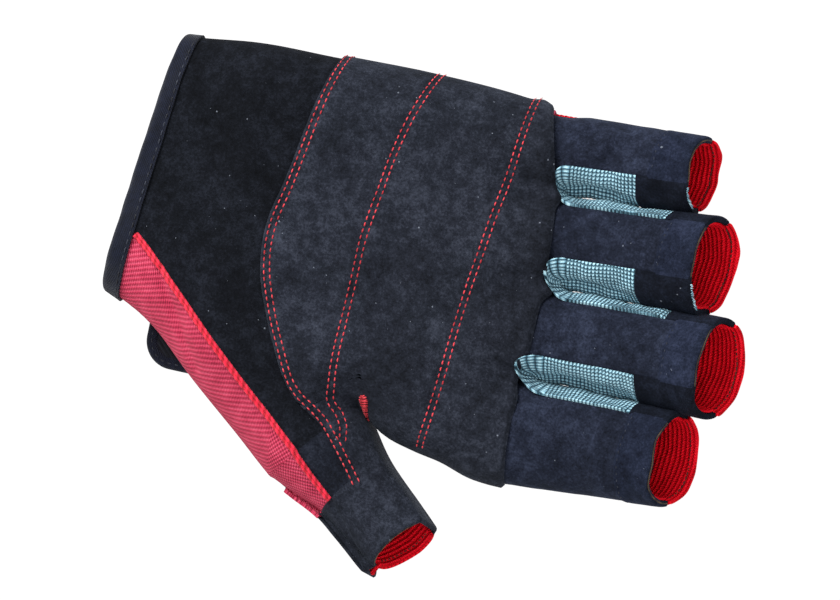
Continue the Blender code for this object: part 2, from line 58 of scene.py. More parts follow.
# ---- shared shape helpers
def smoothLine(points):
    # cubic through (x, y) points, each with the slope of its neighbours
    x = np.array([p[0] for p in points], float)
    y = np.array([p[1] for p in points], float)
    slope = np.gradient(y, x)

    def value(at):
        # Hermite cubic between the two nearest points
        at = np.asarray(at, float)
        i = np.clip(np.searchsorted(x, at) - 1, 0, len(x) - 2)
        h = x[i + 1] - x[i]
        t = np.clip((at - x[i]) / h, -0.2, 1.2)
        ends = (2 * t**3 - 3 * t**2 + 1) * y[i] + (3 * t**2 - 2 * t**3) * y[i + 1]
        return ends + (t**3 - 2 * t**2 + t) * h * slope[i] + (t**3 - t**2) * h * slope[i + 1]

    return value


def ease(a, b, x):
    # 0 before a, 1 after b, smooth between
    t = np.clip((np.asarray(x, float) - a) / (b - a), 0, 1)
    return t * t * (3 - 2 * t)


def quarterRound(share):
    # quarter circle: steep from 0 at share 0, level at 1 from share 1 on
    return np.sqrt(np.clip(1 - (1 - np.clip(share, 0, 1)) ** 2, 0, 1))


def unit(vectors):
    # each row scaled to length 1
    return vectors / np.linalg.norm(vectors, axis=1)[:, None]


def lineDistance(px, py, line, inside=None):
    # distance from points to a polyline, and the unit direction away from it
    a, b = line[:-1], line[1:]
    ab = b - a
    gx = px[..., None] - a[:, 0]
    gy = py[..., None] - a[:, 1]
    t = np.clip((gx * ab[:, 0] + gy * ab[:, 1]) / (ab**2).sum(1), 0, 1)
    gx = gx - t * ab[:, 0]
    gy = gy - t * ab[:, 1]
    far = np.hypot(gx, gy)
    k = far.argmin(-1)[..., None]
    d = np.take_along_axis(far, k, -1)[..., 0]
    gx = np.take_along_axis(gx, k, -1)[..., 0]
    gy = np.take_along_axis(gy, k, -1)[..., 0]
    if inside is not None:
        normal = np.stack([-ab[:, 1], ab[:, 0]], 1) / np.linalg.norm(ab, axis=1)[:, None]
        normal *= np.sign(((inside - a) * normal).sum(1))[:, None]
        own = normal[k[..., 0]]
        gx = np.where(d < 0.08, own[..., 0], gx / np.maximum(d, 1e-6))
        gy = np.where(d < 0.08, own[..., 1], gy / np.maximum(d, 1e-6))
    return d, gx, gy


def softNoise(x, y, size, seed):
    # smooth bumps about size apart: sines in twelve directions, seeded
    rng = np.random.default_rng(seed)
    total = 0 * x
    for _ in range(12):
        angle, phase = rng.uniform(0, tau, 2)
        wave = tau / (size * rng.uniform(0.7, 1.6))
        total = total + np.sin((x * math.cos(angle) + y * math.sin(angle)) * wave + phase)
    return total / 3.5


# ---- the hand's form
thumbAngle = math.radians(-40.0)
thumb = dict(base=np.array([61.7, -65.3]), length=38.5, lift=math.radians(22.0), heightEnd=9.6, hem=21.0)
thumbAhead = np.array([math.cos(thumbAngle), math.sin(thumbAngle)])
thumbAside = np.array([-math.sin(thumbAngle), math.cos(thumbAngle)])
thumbArc = thumb["length"] * thumb["lift"] / math.sin(thumb["lift"])
handForm = dict(knuckleX=110.0, cuffSkew=0.112, knuckleSkew=-0.07, squareX=50.0, edge=15.0, valley=7.4)
# sides: y of the upper and lower side at the base, then at the tip
fingers = {
    "little": dict(sides=(36.0, 14.1, 37.2, 16.9), tip=150.5, high=(10.4, 8.6), curl=22.0, front=(-10, 107)),
    "ring": dict(sides=(14.1, -11.1, 17.0, -9.0), tip=158.6, high=(11.0, 9.8), curl=31.0, front=(36, 110)),
    "middle": dict(sides=(-11.1, -36.3, -8.9, -35.4), tip=165.8, high=(11.2, 10.2), curl=33.0,
                   front=(36, 117)),
    "index": dict(sides=(-36.3, -65.4, -35.5, -60.8), tip=159.0, high=(11.0, 9.8), curl=33.0,
                  front=(38, 190)),
}
for f in fingers.values():
    upper, lower, upperTip, lowerTip = f["sides"]
    f["line"] = ((upper + lower) / 2, (upperTip + lowerTip) / 2)
    f["wide"] = ((upper - lower) / 2, (upperTip - lowerTip) / 2)
fingerNames = list(fingers)

littleEdge = smoothLine([(-6, 36.0), (0, 36.3), (22, 38.4), (45, 38.7), (73, 38.9), (98, 37.9), (110, 36.6)])
outerEdge = smoothLine([(-6, -34.5), (0, -36.6), (16, -45.0), (25, -53.0), (40, -66.6),
                        (51.4, -77.4), (66, -88.0)])
indexEdge = smoothLine([(70.6, -53.0), (79, -58.6), (87, -61.0), (94, -62.4), (102, -65.0), (110, -65.6)])
meshSeam = smoothLine([(-6, -13.5), (0, -16.5), (6, -20.5), (21, -32.8), (36, -46.8),
                       (47, -57.3), (57, -66.4), (62, -71.0)])
# length along the glove where the mesh reaches the thumb
meshEnd = 58.8
halfHeight = smoothLine([(-6, 8.6), (0, 9.0), (20, 11.0), (40, 13.0), (70, 13.4), (95, 12.4), (110, 11.5)])
backRise = smoothLine([(-6, 4.4), (0, 4.4), (20, 4.4), (29, 4.2), (36, 2.4), (44, 0.4), (50, 0), (60, 0),
                       (110, 0)])
crotch = np.array([70.6, -53.0])
cutSlope = 24.4 / 19.2


def thumbCut(x):
    # seam where the thumb starts, straight from the crotch to the outer edge
    return crotch[1] + (x - crotch[0]) * cutSlope


def backLow(x):
    # lower side of the back: outer edge, then the thumb seam, then the index edge
    return np.where(x < 51.4, outerEdge(x), np.where(x < crotch[0], thumbCut(x), indexEdge(x)))


def palmLow(x):
    # lower side of the palm: the mesh seam, or the side of the back where that is higher
    return np.maximum(np.where(x < meshEnd, meshSeam(x), -999.0), backLow(x))


# sideways reach of the thumb's two sides from its middle line, by length
thumbOuter = smoothLine([(-4, 16.4), (0, 15.6), (8, 13.4), (17, 10.8), (26, 9.9), (37, 9.1),
                         (40, 8.8), (52, 7.6)])
thumbInner = smoothLine([(-4, 16.4), (0, 15.9), (3, 14.9), (10, 13.1), (20, 12.3),
                         (30, 12.3), (40, 12.2), (52, 11.0)])


def thumbPlan(s, a):
    # plan point at length s and sideways distance a on the thumb
    return (thumb["base"][0] + s * thumbAhead[0] + a * thumbAside[0],
            thumb["base"][1] + s * thumbAhead[1] + a * thumbAside[1])


def makeSides():
    # the silhouette as four polylines, each with a point that lies inside it
    s = np.linspace(1, 50, 30)
    x = np.linspace(-8, 110, 50)
    xOut = np.linspace(-8, 51.4, 28)
    xIn = np.linspace(70.6, 112, 18)
    top = np.stack([x, littleEdge(x)], 1)
    outer = np.vstack([np.stack([xOut, outerEdge(xOut)], 1), np.stack(thumbPlan(s, -thumbOuter(s)), 1)])
    inner = np.vstack([crotch, np.stack(thumbPlan(s, thumbInner(s)), 1)])
    index = np.stack([xIn, indexEdge(xIn)], 1)
    return [(top, np.array([60.0, 0])), (outer, np.array([60.0, -40])), (inner, np.array([80.0, -85])),
            (index, np.array([90.0, 0]))]


sides = makeSides()


def edgeField(x, y, soft=0.9):
    # soft least distance to the silhouette's sides, with the direction away from them
    found = [lineDistance(x, y, line, inside) for line, inside in sides]
    d = np.stack([f[0] for f in found])
    weight = np.exp(-(d - d.min(0)) / soft)
    least = d.min(0) - soft * np.log(weight.sum(0))
    ax = (weight * np.stack([f[1] for f in found])).sum(0)
    ay = (weight * np.stack([f[2] for f in found])).sum(0)
    total = weight.sum(0)
    return np.maximum(least, 0), ax / total, ay / total


def skew(x):
    # slant of a line across the glove: falls to nothing at squareX, then leans the other way
    f = handForm
    return np.where(x < f["squareX"], f["cuffSkew"] * (1 - x / f["squareX"]),
                    f["knuckleSkew"] * (x - f["squareX"]) / (f["knuckleX"] - f["squareX"]))


def unskew(x, y):
    # own x whose skewed place is x
    own = x
    for _ in range(4):
        own = x - skew(own) * y
    return own


# Red stitch rows on the palm, as places on the glove (x along it, y across it)
rowRoutes = {
    "first": [(50.1, 39.4), (46.5, 21.6), (43.3, 2.8), (40.9, -9.0), (41.5, -19.9), (45.3, -31.7),
              (50.0, -41.8), (53.6, -48.6), (56.9, -52.5), (61.6, -56.0), (65.6, -59.5), (69.3, -63.6),
              (73.8, -68.8), (79.0, -74.7)],
    "second": [(76.0, 39.4), (70.3, 21.1), (67.2, 3.6), (65.6, -7.9), (65.5, -21.8), (64.9, -38.7),
               (64.7, -47.8),
               (64.9, -52.6), (68.0, -56.5), (70.0, -59.4), (71.3, -64.0)],
    "third": [(102.6, 38.2), (100.9, 20.7), (98.9, 6.4), (95.9, -15.4), (94.2, -35.3),
              (93.0, -49.4), (91.4, -59.8)],
}


def densePath(points, step=0.6):
    # smooth curve through plan points: Catmull-Rom, then spaced evenly
    p = np.array(points, float)
    p = np.vstack([2 * p[0] - p[1], p, 2 * p[-1] - p[-2]])
    t = np.linspace(0, 1, 24, endpoint=False)[:, None]
    parts = []
    for a, b, c, d in zip(p[:-3], p[1:-2], p[2:-1], p[3:]):
        parts.append(0.5 * (2 * b + (c - a) * t + (2 * a - 5 * b + 4 * c - d) * t**2
                            + (3 * b - a - 3 * c + d) * t**3))
    curve = np.vstack(parts + [p[-2][None]])
    return evenly(curve, step)


def evenly(curve, step):
    # the same curve with its points a step apart
    along = np.concatenate([[0], np.cumsum(np.linalg.norm(np.diff(curve, axis=0), axis=1))])
    at = np.linspace(0, along[-1], max(2, int(along[-1] / step) + 1))
    return np.stack([np.interp(at, along, curve[:, i]) for i in range(curve.shape[1])], 1)


rowLines = {name: densePath(points, 1.5) for name, points in rowRoutes.items()}
# soft folds pressed into the palm: from, to, half width, depth
palmFolds = [((84, 30), (93, -20), 5.0, 1.0), ((93, -20), (95, -48), 4.5, 0.9),
             ((15, 30), (28, -22), 6.0, 0.7), ((104, 12), (106, -10), 3.0, 0.5),
             ((56, -30), (50, -52), 4.0, 0.4), ((74, -12), (80, -44), 4.0, 0.5),
             ((12, -28), (27, -52), 1.5, 1.3)]


def palmRelief(x, y):
    # the hand's pads and hollow, soft folds, the sewn-down rows and a slow unevenness
    z = 1.0 * np.exp(-((x - 42) ** 2 + (y + 36) ** 2) / 500)
    z = z + 0.7 * np.exp(-((x - 32) ** 2 + (y - 20) ** 2) / 420)
    z -= 1.6 * np.exp(-((x - 74) ** 2 / 500 + (y + 4) ** 2 / 420))
    for a, b, half, depth in palmFolds:
        d = lineDistance(x, y, np.array([a, b], float))[0]
        z -= depth * np.exp(-((d / half) ** 2))
    for line in rowLines.values():
        d = lineDistance(x, y, line)[0]
        z -= 0.42 * np.exp(-((d / 1.5) ** 2))
    z += 0.28 * softNoise(x, y, 17, 3) + 0.12 * softNoise(x, y, 6.5, 4)
    return z


def fingerRidges(y):
    # height over the middle plane of four finger bases side by side, with shallow valleys
    top = np.full(np.shape(y), handForm["valley"])
    for f in fingers.values():
        share = np.clip(1 - ((y - f["line"][0]) / (f["wide"][0] + 0.6)) ** 2, 0, 1)
        top = np.maximum(top, (f["high"][0] + 0.3) * share ** 0.45)
    return top


def gloveSurface(x, y, side, offset):
    # a slab with rounded sides: height grows from the outline like a quarter ellipse;
    # towards the knuckles it becomes four ridges, and the thumb bends up on an arc
    x, y, offset = np.broadcast_arrays(np.asarray(x, float), np.asarray(y, float), np.asarray(offset, float))
    distance, ax, ay = edgeField(x, y)
    lean = 1 - np.clip(distance / handForm["edge"], 0, 1)
    upright = np.sqrt(np.clip(1 - lean**2, 0, 1))
    px = x + skew(x) * y
    s = (px - thumb["base"][0]) * thumbAhead[0] + (y - thumb["base"][1]) * thumbAhead[1]
    a = (px - thumb["base"][0]) * thumbAside[0] + (y - thumb["base"][1]) * thumbAside[1]
    onThumb = (s > 0) & (a < 15.8)
    share = np.where(onThumb, np.clip(s / thumb["length"], 0, 1), 0)
    height = halfHeight(x) * (1 - share) + thumb["heightEnd"] * share
    rise = (height - 0.15) * upright
    ridge = ease(92, 110, x) * (~onThumb)
    rise = rise * (1 - ridge) + np.minimum(fingerRidges(y), rise + 0.5) * ridge
    relief = palmRelief(px, y) if side > 0 else 0.0
    rise = rise + relief * upright * (1 - 0.5 * ridge)
    middle = np.maximum(backRise(np.where(onThumb, 60, x)), 0) + height
    middle = np.where(onThumb, np.maximum(halfHeight(60.0), 0) * (1 - share) + 12.6 * share, middle)
    outX = px - ax * lean * offset
    outY = y - ay * lean * offset
    up = side * (0.15 + rise + offset * upright)
    turn = np.where(onThumb, s / (thumbArc / thumb["lift"]), 0)
    radius = thumbArc / thumb["lift"]
    shift = np.where(onThumb, radius * np.sin(turn) - np.sin(turn) * up - s, 0)
    lift = np.where(onThumb, radius * (1 - np.cos(turn)) + (np.cos(turn) - 1) * up, 0)
    return np.stack([outX + shift * thumbAhead[0], outY + shift * thumbAhead[1], middle + up + lift], -1)


def fingerSurface(name, s, t, offset):
    # oval tube on an arc: s along it, t degrees round it with 90 on the palm side
    f = fingers[name]
    s, t, offset = np.broadcast_arrays(np.asarray(s, float), np.asarray(t, float), np.asarray(offset, float))
    base = jointAt[name + "_curl"] + gloveShift
    plan = f["tip"] - base[0]
    curl = math.radians(f["curl"])
    length = plan * curl / math.sin(curl)
    radius = length / curl
    share = s / length
    rad = np.radians(t)
    seed = 20 + fingerNames.index(name)
    soft = softNoise(s, t * 0.2, 11, seed) * 0.34 + softNoise(s, t * 0.2, 4.5, seed + 9) * 0.09
    palmSide = np.clip(np.sin(rad), 0, 1)
    soft = soft - 0.45 * np.exp(-(((s - 8 - 1.5 * np.cos(rad)) / 3.0) ** 2)) * palmSide
    soft = soft - 0.75 * np.exp(-(((s - 0.47 * length - 1.2 * np.cos(rad * 2)) / 3.6) ** 2)) * palmSide
    soft = soft + 0.4 * np.exp(-(((s - 0.62 * length) / 4.0) ** 2)) * palmSide
    wide = (f["wide"][0] + (f["wide"][1] - f["wide"][0]) * share + offset * np.abs(np.cos(rad)) ** 0.5
            + soft * 0.15)
    line = f["line"][0] + (f["line"][1] - f["line"][0]) * share
    high = f["high"][0] + (f["high"][1] - f["high"][0]) * share + offset + soft
    squareness = np.abs(np.sin(rad)) ** 0.9 * np.sign(np.sin(rad))
    turn = s / radius
    up = high * squareness
    forward = radius * np.sin(turn) - np.sin(turn) * up
    rise = radius * (1 - np.cos(turn)) + np.cos(turn) * up
    middle = float(halfHeight(110.0))
    return np.stack([base[0] + forward, line + wide * np.cos(rad), middle + rise], -1)


def fingerLength(name):
    # arc length whose shadow on the plan reaches from the knuckle to the tip
    f = fingers[name]
    curl = math.radians(f["curl"])
    return (f["tip"] - (jointAt[name + "_curl"][0] + gloveShift[0])) * curl / math.sin(curl)


# ---- mesh makers
def makeMesh(name, vertices, faces, uv=None):
    mesh = bpy.data.meshes.new(name)
    points = (np.asarray(vertices, float).reshape(-1, 3) - gloveShift) * 0.001
    mesh.vertices.add(len(points))
    mesh.vertices.foreach_set("co", points.astype(np.float32).ravel())
    faces = np.asarray(faces, np.int32)
    mesh.loops.add(faces.size)
    mesh.loops.foreach_set("vertex_index", faces.ravel())
    mesh.polygons.add(len(faces))
    mesh.polygons.foreach_set("loop_start", np.arange(0, faces.size, faces.shape[1], dtype=np.int32))
    mesh.update(calc_edges=True)
    if uv is not None:
        layer = mesh.uv_layers.new(name="clothMm")
        layer.data.foreach_set("uv", np.asarray(uv, np.float32).reshape(-1, 2)[faces.ravel()].ravel())
    mesh.shade_smooth()
    made = bpy.data.objects.new(name, mesh)
    bpy.context.scene.collection.objects.link(made)
    return made


def gridFaces(rows, columns, first=0):
    # four-sided faces of a grid of points, row by row
    i, j = np.meshgrid(np.arange(rows - 1), np.arange(columns - 1), indexing="ij")
    a = (first + i * columns + j).ravel()
    return np.stack([a, a + 1, a + 1 + columns, a + columns], 1)


def rimFaces(rows, columns, second):
    # walls between the two skins of a sheet, all round its edge
    ring = np.concatenate([np.arange(columns), np.arange(1, rows) * columns + columns - 1,
                           (rows - 1) * columns + np.arange(columns - 2, -1, -1),
                           np.arange(rows - 2, 0, -1) * columns])
    after = np.roll(ring, -1)
    return np.stack([after, ring, ring + second, after + second], 1)


def makeSheet(name, outer, inner, uv):
    # closed cloth sheet from an outer and an inner grid of points
    rows, columns = outer.shape[:2]
    count = rows * columns
    faces = np.vstack([gridFaces(rows, columns), gridFaces(rows, columns, count)[:, ::-1],
                       rimFaces(rows, columns, count)])
    across = np.cross(outer[1:, 1:] - outer[:-1, :-1], outer[:-1, 1:] - outer[1:, :-1])
    towards = (outer - inner)[:-1, :-1]
    if (across * towards).sum() < 0:
        faces = faces[:, ::-1]
    made = makeMesh(name, np.concatenate([outer.reshape(-1, 3), inner.reshape(-1, 3)]), faces,
                    np.concatenate([uv.reshape(-1, 2), uv.reshape(-1, 2)]))
    made.data.set_sharp_from_angle(angle=math.radians(50))
    return made


def clothUv(points):
    # distance along both ways of the grid, in millimetres
    along = np.zeros(points.shape[:2])
    across = np.zeros(points.shape[:2])
    along[1:] = np.cumsum(np.linalg.norm(np.diff(points, axis=0), axis=-1), axis=0)
    across[:, 1:] = np.cumsum(np.linalg.norm(np.diff(points, axis=1), axis=-1), axis=1)
    middle = points.shape[1] // 2
    run = np.repeat(along[:, middle:middle + 1], points.shape[1], 1)
    return np.stack([run, across - across[:, middle:middle + 1]], -1)


# a finger's radius, near enough for patterns that run round it
patternRadius = 12.0


def tubeUv(s, t):
    # length along a finger and distance round it, for patterns that must follow its ribs
    return np.stack([s, np.radians(t) * patternRadius], -1)


def gloveSheet(name, x, y, side, outside, inside):
    # cloth between two offsets from the hand surface
    outer = gloveSurface(x, y, side, outside)
    inner = gloveSurface(x, y, side, inside)
    return makeSheet(name, outer, inner, clothUv(outer))


def frames(path, up):
    # tangent, up and side vectors along a path of points
    tangent = unit(np.gradient(path, axis=0))
    side = np.cross(tangent, up)
    side /= np.maximum(np.linalg.norm(side, axis=1)[:, None], 1e-9)
    return tangent, np.cross(side, tangent), side


def makeCord(name, path, up, radius, around=10, lobes=None):
    # round profile carried along a path; lobes shapes the radius by angle and station
    tangent, high, side = frames(path, up)
    angle = np.linspace(0, tau, around, endpoint=False)
    size = np.full((len(path), around), radius)
    if lobes is not None:
        size = lobes(np.arange(len(path))[:, None], angle)
    rings = (path[:, None] + size[..., None] * (np.cos(angle)[None, :, None] * side[:, None]
                                                + np.sin(angle)[None, :, None] * high[:, None]))
    n = len(path)
    i, j = np.meshgrid(np.arange(n - 1), np.arange(around), indexing="ij")
    a, b = i * around + j, i * around + (j + 1) % around
    faces = np.stack([a, b, b + around, a + around], -1).reshape(-1, 4)
    tips = np.array([path[0], path[-1]])
    first, last = n * around, n * around + 1
    j = np.arange(around)
    k = (j + 1) % around
    startCap = np.stack([k, j, np.full(around, first)], 1)
    endCap = np.stack([(n - 1) * around + j, (n - 1) * around + k, np.full(around, last)], 1)
    along = np.concatenate([[0], np.cumsum(np.linalg.norm(np.diff(path, axis=0), axis=1))])
    uv = np.stack([np.repeat(along[:, None], around, 1), np.repeat((angle * radius)[None], n, 0)], -1)
    uv = uv.reshape(-1, 2)
    return joinFaces(name, np.vstack([rings.reshape(-1, 3), tips]), faces, np.vstack([startCap, endCap]),
                     np.vstack([uv, [[0, 0], [along[-1], 0]]]))


def joinFaces(name, vertices, quads, triangles, uv):
    # mesh from quads and triangles together, with a map in millimetres
    mesh = bpy.data.meshes.new(name)
    points = ((vertices - gloveShift) * 0.001)
    mesh.from_pydata(points.tolist(), [], quads.tolist() + triangles.tolist())
    layer = mesh.uv_layers.new(name="clothMm")
    index = np.zeros(len(mesh.loops), np.int32)
    mesh.loops.foreach_get("vertex_index", index)
    layer.data.foreach_set("uv", uv.astype(np.float32)[index].ravel())
    mesh.shade_smooth()
    made = bpy.data.objects.new(name, mesh)
    bpy.context.scene.collection.objects.link(made)
    return made


def makeStitches(name, rows, pitch=2.0, length=1.4, radius=0.27, sink=0.12):
    # each row is (path, up); every stitch is a short capped strand whose ends dive in
    stations, around = 7, 6
    allPoints = []
    for path, up in rows:
        step = np.linalg.norm(np.diff(path, axis=0), axis=1)
        along = np.concatenate([[0], np.cumsum(step)])
        starts = np.arange(0.3, along[-1] - length, pitch)
        t = np.linspace(0, 1, stations)
        at = starts[:, None] + t * length
        tangent, high, side = frames(path, up)
        take = lambda v: np.stack([np.interp(at, along, v[:, i]) for i in range(3)], -1)
        centre = take(path) + take(high) * (radius * 1.1 * np.sin(t * math.pi) ** 0.6 - sink)[None, :, None]
        size = radius * np.array([0.3, 0.82, 1, 1.02, 1, 0.82, 0.3])
        angle = np.linspace(0, tau, around, endpoint=False)
        ring = (np.cos(angle)[None, None, :, None] * take(side)[:, :, None]
                + np.sin(angle)[None, None, :, None] * take(high)[:, :, None])
        allPoints.append(centre[:, :, None] + size[None, :, None, None] * ring)
    points = np.concatenate(allPoints)
    count = len(points)
    own = stations * around
    i, j = np.meshgrid(np.arange(stations - 1), np.arange(around), indexing="ij")
    a, b = i * around + j, i * around + (j + 1) % around
    one = np.stack([a, b, b + around, a + around], -1).reshape(-1, 4)
    caps = np.array([[0, 5, 4, 3], [0, 3, 2, 1]])
    ends = (stations - 1) * around + np.array([[0, 1, 2, 3], [0, 3, 4, 5]])
    one = np.vstack([one, caps, ends])
    faces = (one[None] + own * np.arange(count)[:, None, None]).reshape(-1, 4)
    return makeMesh(name, points.reshape(-1, 3), faces)


def glovePath(plan, side, offset, shift=0.0):
    # plan path lifted onto the glove, moved sideways by shift; with its surface normals
    plan = np.asarray(plan, float)
    tangent = unit(np.gradient(plan, axis=0))
    plan = plan + shift * np.stack([-tangent[:, 1], tangent[:, 0]], 1)
    own = unskew(plan[:, 0], plan[:, 1])
    offset = offset(own, plan[:, 1]) if callable(offset) else offset
    low = gloveSurface(own, plan[:, 1], side, offset)
    high = gloveSurface(own, plan[:, 1], side, offset + 1.0)
    return low, unit(high - low)


# ---- materials
def linear(code):
    # sRGB hex to linear: a straight foot, then a power of 2.4
    part = [int(code[i:i + 2], 16) / 255 for i in (1, 3, 5)]
    return tuple(c / 12.92 if c <= 0.04045 else ((c + 0.055) / 1.055) ** 2.4 for c in part) + (1.0,)


def addNode(tree, kind, sockets=None, out=0, stops=None, **settings):
    # one node with its settings; a socket that is given another node's output is linked to it
    node = tree.nodes.new("ShaderNode" + kind)
    for key, value in settings.items():
        setattr(node, key, value)
    for key, value in (sockets or {}).items():
        if isinstance(value, bpy.types.NodeSocket):
            tree.links.new(node.inputs[key], value)
        else:
            node.inputs[key].default_value = value
    if stops:
        points = node.color_ramp.elements
        while len(points) < len(stops):
            points.new(0.5)
        for point, (place, colour) in zip(points, stops):
            point.position = place
            point.color = linear(colour)
    return node.outputs[out]


def newMaterial(name, roughness, specular, sheen=0.0, sheenTint="#ffffff"):
    # a Principled shader with its constants set on the sockets
    made = bpy.data.materials.new(name)
    made.use_nodes = True
    shader = made.node_tree.nodes["Principled BSDF"]
    values = {"Roughness": roughness, "Specular IOR Level": specular, "IOR": 1.5, "Sheen Weight": sheen,
              "Sheen Roughness": 0.45, "Sheen Tint": linear(sheenTint)}
    for key, value in values.items():
        shader.inputs[key].default_value = value
    return made, made.node_tree, shader


def dress(tree, shader, colour, height, strength, depth):
    # base colour, and a fine relief of the given depth in metres
    tree.links.new(shader.inputs["Base Color"], colour)
    bump = addNode(tree, "Bump", {"Strength": strength, "Distance": depth, "Height": height})
    tree.links.new(shader.inputs["Normal"], bump)


def suede(name, dark, middle, light, sheen, sheenTint):
    # Napped microsuede: polyamide fibres sanded to a short nap. It gives the eye a matt,
    # mottled cloth with a bluish sheen where it turns away, a fine grain and pale lint.
    made, tree, shader = newMaterial(name, 0.92, 0.06, sheen, sheenTint)
    place = addNode(tree, "TexCoord", out="Object")
    grain = addNode(tree, "TexNoise", {"Vector": place, "Scale": 1500.0, "Detail": 3.0, "Roughness": 0.72})
    mottle = addNode(tree, "TexNoise", {"Vector": place, "Scale": 330.0, "Detail": 5.0, "Roughness": 0.66})
    cloud = addNode(tree, "TexNoise", {"Vector": place, "Scale": 46.0, "Detail": 3.0, "Roughness": 0.55})
    slow = addNode(tree, "Math", {0: cloud, 1: 0.42, 2: -0.08}, operation="MULTIPLY_ADD")
    tone = addNode(tree, "Math", {0: mottle, 1: 0.5, 2: slow}, operation="MULTIPLY_ADD")
    tone = addNode(tree, "Math", {0: grain, 1: 0.5, 2: tone}, operation="MULTIPLY_ADD")
    tone = addNode(tree, "Math", {0: tone, 1: 0.11}, operation="SUBTRACT")
    base = addNode(tree, "ValToRGB", {0: tone}, stops=[(0.36, dark), (0.52, middle), (0.72, light)])
    # lint: specks of a third of a millimetre, in patches
    spot = addNode(tree, "TexVoronoi", {"Vector": place, "Scale": 420.0, "Randomness": 1.0}, out="Distance")
    patch = addNode(tree, "TexNoise", {"Vector": place, "Scale": 120.0, "Detail": 3.0})
    size = addNode(tree, "Math", {0: patch, 1: 0.55, 2: -0.265}, operation="MULTIPLY_ADD")
    speck = addNode(tree, "Math", {0: spot, 1: size}, operation="LESS_THAN")
    amount = addNode(tree, "Math", {0: speck, 1: 0.4}, operation="MULTIPLY")
    colour = addNode(tree, "Mix", {0: amount, 6: base, 7: linear("#8b929e")}, out=2, data_type="RGBA")
    relief = addNode(tree, "Math", {0: grain, 1: 0.6, 2: mottle}, operation="MULTIPLY_ADD")
    dress(tree, shader, colour, relief, 0.8, 0.00035)
    return made


def meshKnit(name):
    # Polyester pique mesh: a warp knit with slanting rows of small holes, dyed crimson.
    # Real holes are 0.9 mm apart; they are drawn at 1.2 mm, dark with painted shade, so that they show.
    made, tree, shader = newMaterial(name, 0.8, 0.1, 0.12, "#ff8f9c")
    cloth = addNode(tree, "TexCoord", out="UV")
    along = addNode(tree, "SeparateXYZ", {0: cloth}, out=0)
    across = addNode(tree, "SeparateXYZ", {0: cloth}, out=1)
    slant = addNode(tree, "Math", {0: along, 1: 0.35, 2: across}, operation="MULTIPLY_ADD")
    rowTurn = addNode(tree, "Math", {0: along, 1: tau / 1.2}, operation="MULTIPLY")
    columnTurn = addNode(tree, "Math", {0: slant, 1: tau / 1.4}, operation="MULTIPLY")
    row = addNode(tree, "Math", {0: rowTurn}, operation="SINE")
    column = addNode(tree, "Math", {0: columnTurn}, operation="SINE")
    both = addNode(tree, "Math", {0: row, 1: column}, operation="MULTIPLY")
    hole = addNode(tree, "Math", {0: both, 1: 0.5, 2: 0.5}, operation="MULTIPLY_ADD")
    place = addNode(tree, "TexCoord", out="Object")
    tone = addNode(tree, "TexNoise", {"Vector": place, "Scale": 240.0, "Detail": 4.0})
    slow = addNode(tree, "Math", {0: tone, 1: 0.5}, operation="MULTIPLY")
    # painted shade: the holes are coloured dark, for the glove's inside showing through them
    shade = addNode(tree, "Math", {0: hole, 1: 0.6, 2: slow}, operation="MULTIPLY_ADD")
    colour = addNode(tree, "ValToRGB", {0: shade},
                     stops=[(0.28, "#701a2c"), (0.46, "#a02842"), (0.66, "#b43852"), (0.9, "#c8566e")])
    dress(tree, shader, colour, hole, 0.8, 0.0004)
    return made


def ribKnit(name, ribs):
    # Bright red stretch rib: the ribs are modelled, the loops in each rib are drawn as
    # fine chevrons 0.8 mm long. A soft knit with painted shade in the rib bottoms and painted light on the
    # tops.
    made, tree, shader = newMaterial(name, 0.8, 0.05, 0.04, "#ff3a30")
    cloth = addNode(tree, "TexCoord", out="UV")
    along = addNode(tree, "SeparateXYZ", {0: cloth}, out=0)
    across = addNode(tree, "SeparateXYZ", {0: cloth}, out=1)
    ribTurn = addNode(tree, "Math", {0: along, 1: tau / ribs}, operation="MULTIPLY")
    ribWave = addNode(tree, "Math", {0: ribTurn}, operation="COSINE")
    zig = addNode(tree, "Math", {0: along, 1: ribs * 0.5}, operation="PINGPONG")
    loopPlace = addNode(tree, "Math", {0: across, 1: zig}, operation="ADD")
    loopTurn = addNode(tree, "Math", {0: loopPlace, 1: tau / 0.8}, operation="MULTIPLY")
    loops = addNode(tree, "Math", {0: loopTurn}, operation="SINE")
    place = addNode(tree, "TexCoord", out="Object")
    fuzz = addNode(tree, "TexNoise", {"Vector": place, "Scale": 900.0, "Detail": 2.0})
    # painted shade and light: the colour darkens in the rib bottoms and lightens on the rib tops
    paintedRibShade = addNode(tree, "Math", {0: ribWave, 1: -0.24, 2: 0.35}, operation="MULTIPLY_ADD")
    loopShade = addNode(tree, "Math", {0: loops, 1: 0.12, 2: paintedRibShade}, operation="MULTIPLY_ADD")
    shade = addNode(tree, "Math", {0: fuzz, 1: 0.25, 2: loopShade}, operation="MULTIPLY_ADD")
    colour = addNode(tree, "ValToRGB", {0: shade},
                     stops=[(0.12, "#8c020c"), (0.4, "#d20618"), (0.7, "#f01428"), (1.0, "#ff2c38")])
    relief = addNode(tree, "Math", {0: fuzz, 1: 0.5, 2: loops}, operation="MULTIPLY_ADD")
    dress(tree, shader, colour, relief, 0.6, 0.0003)
    return made


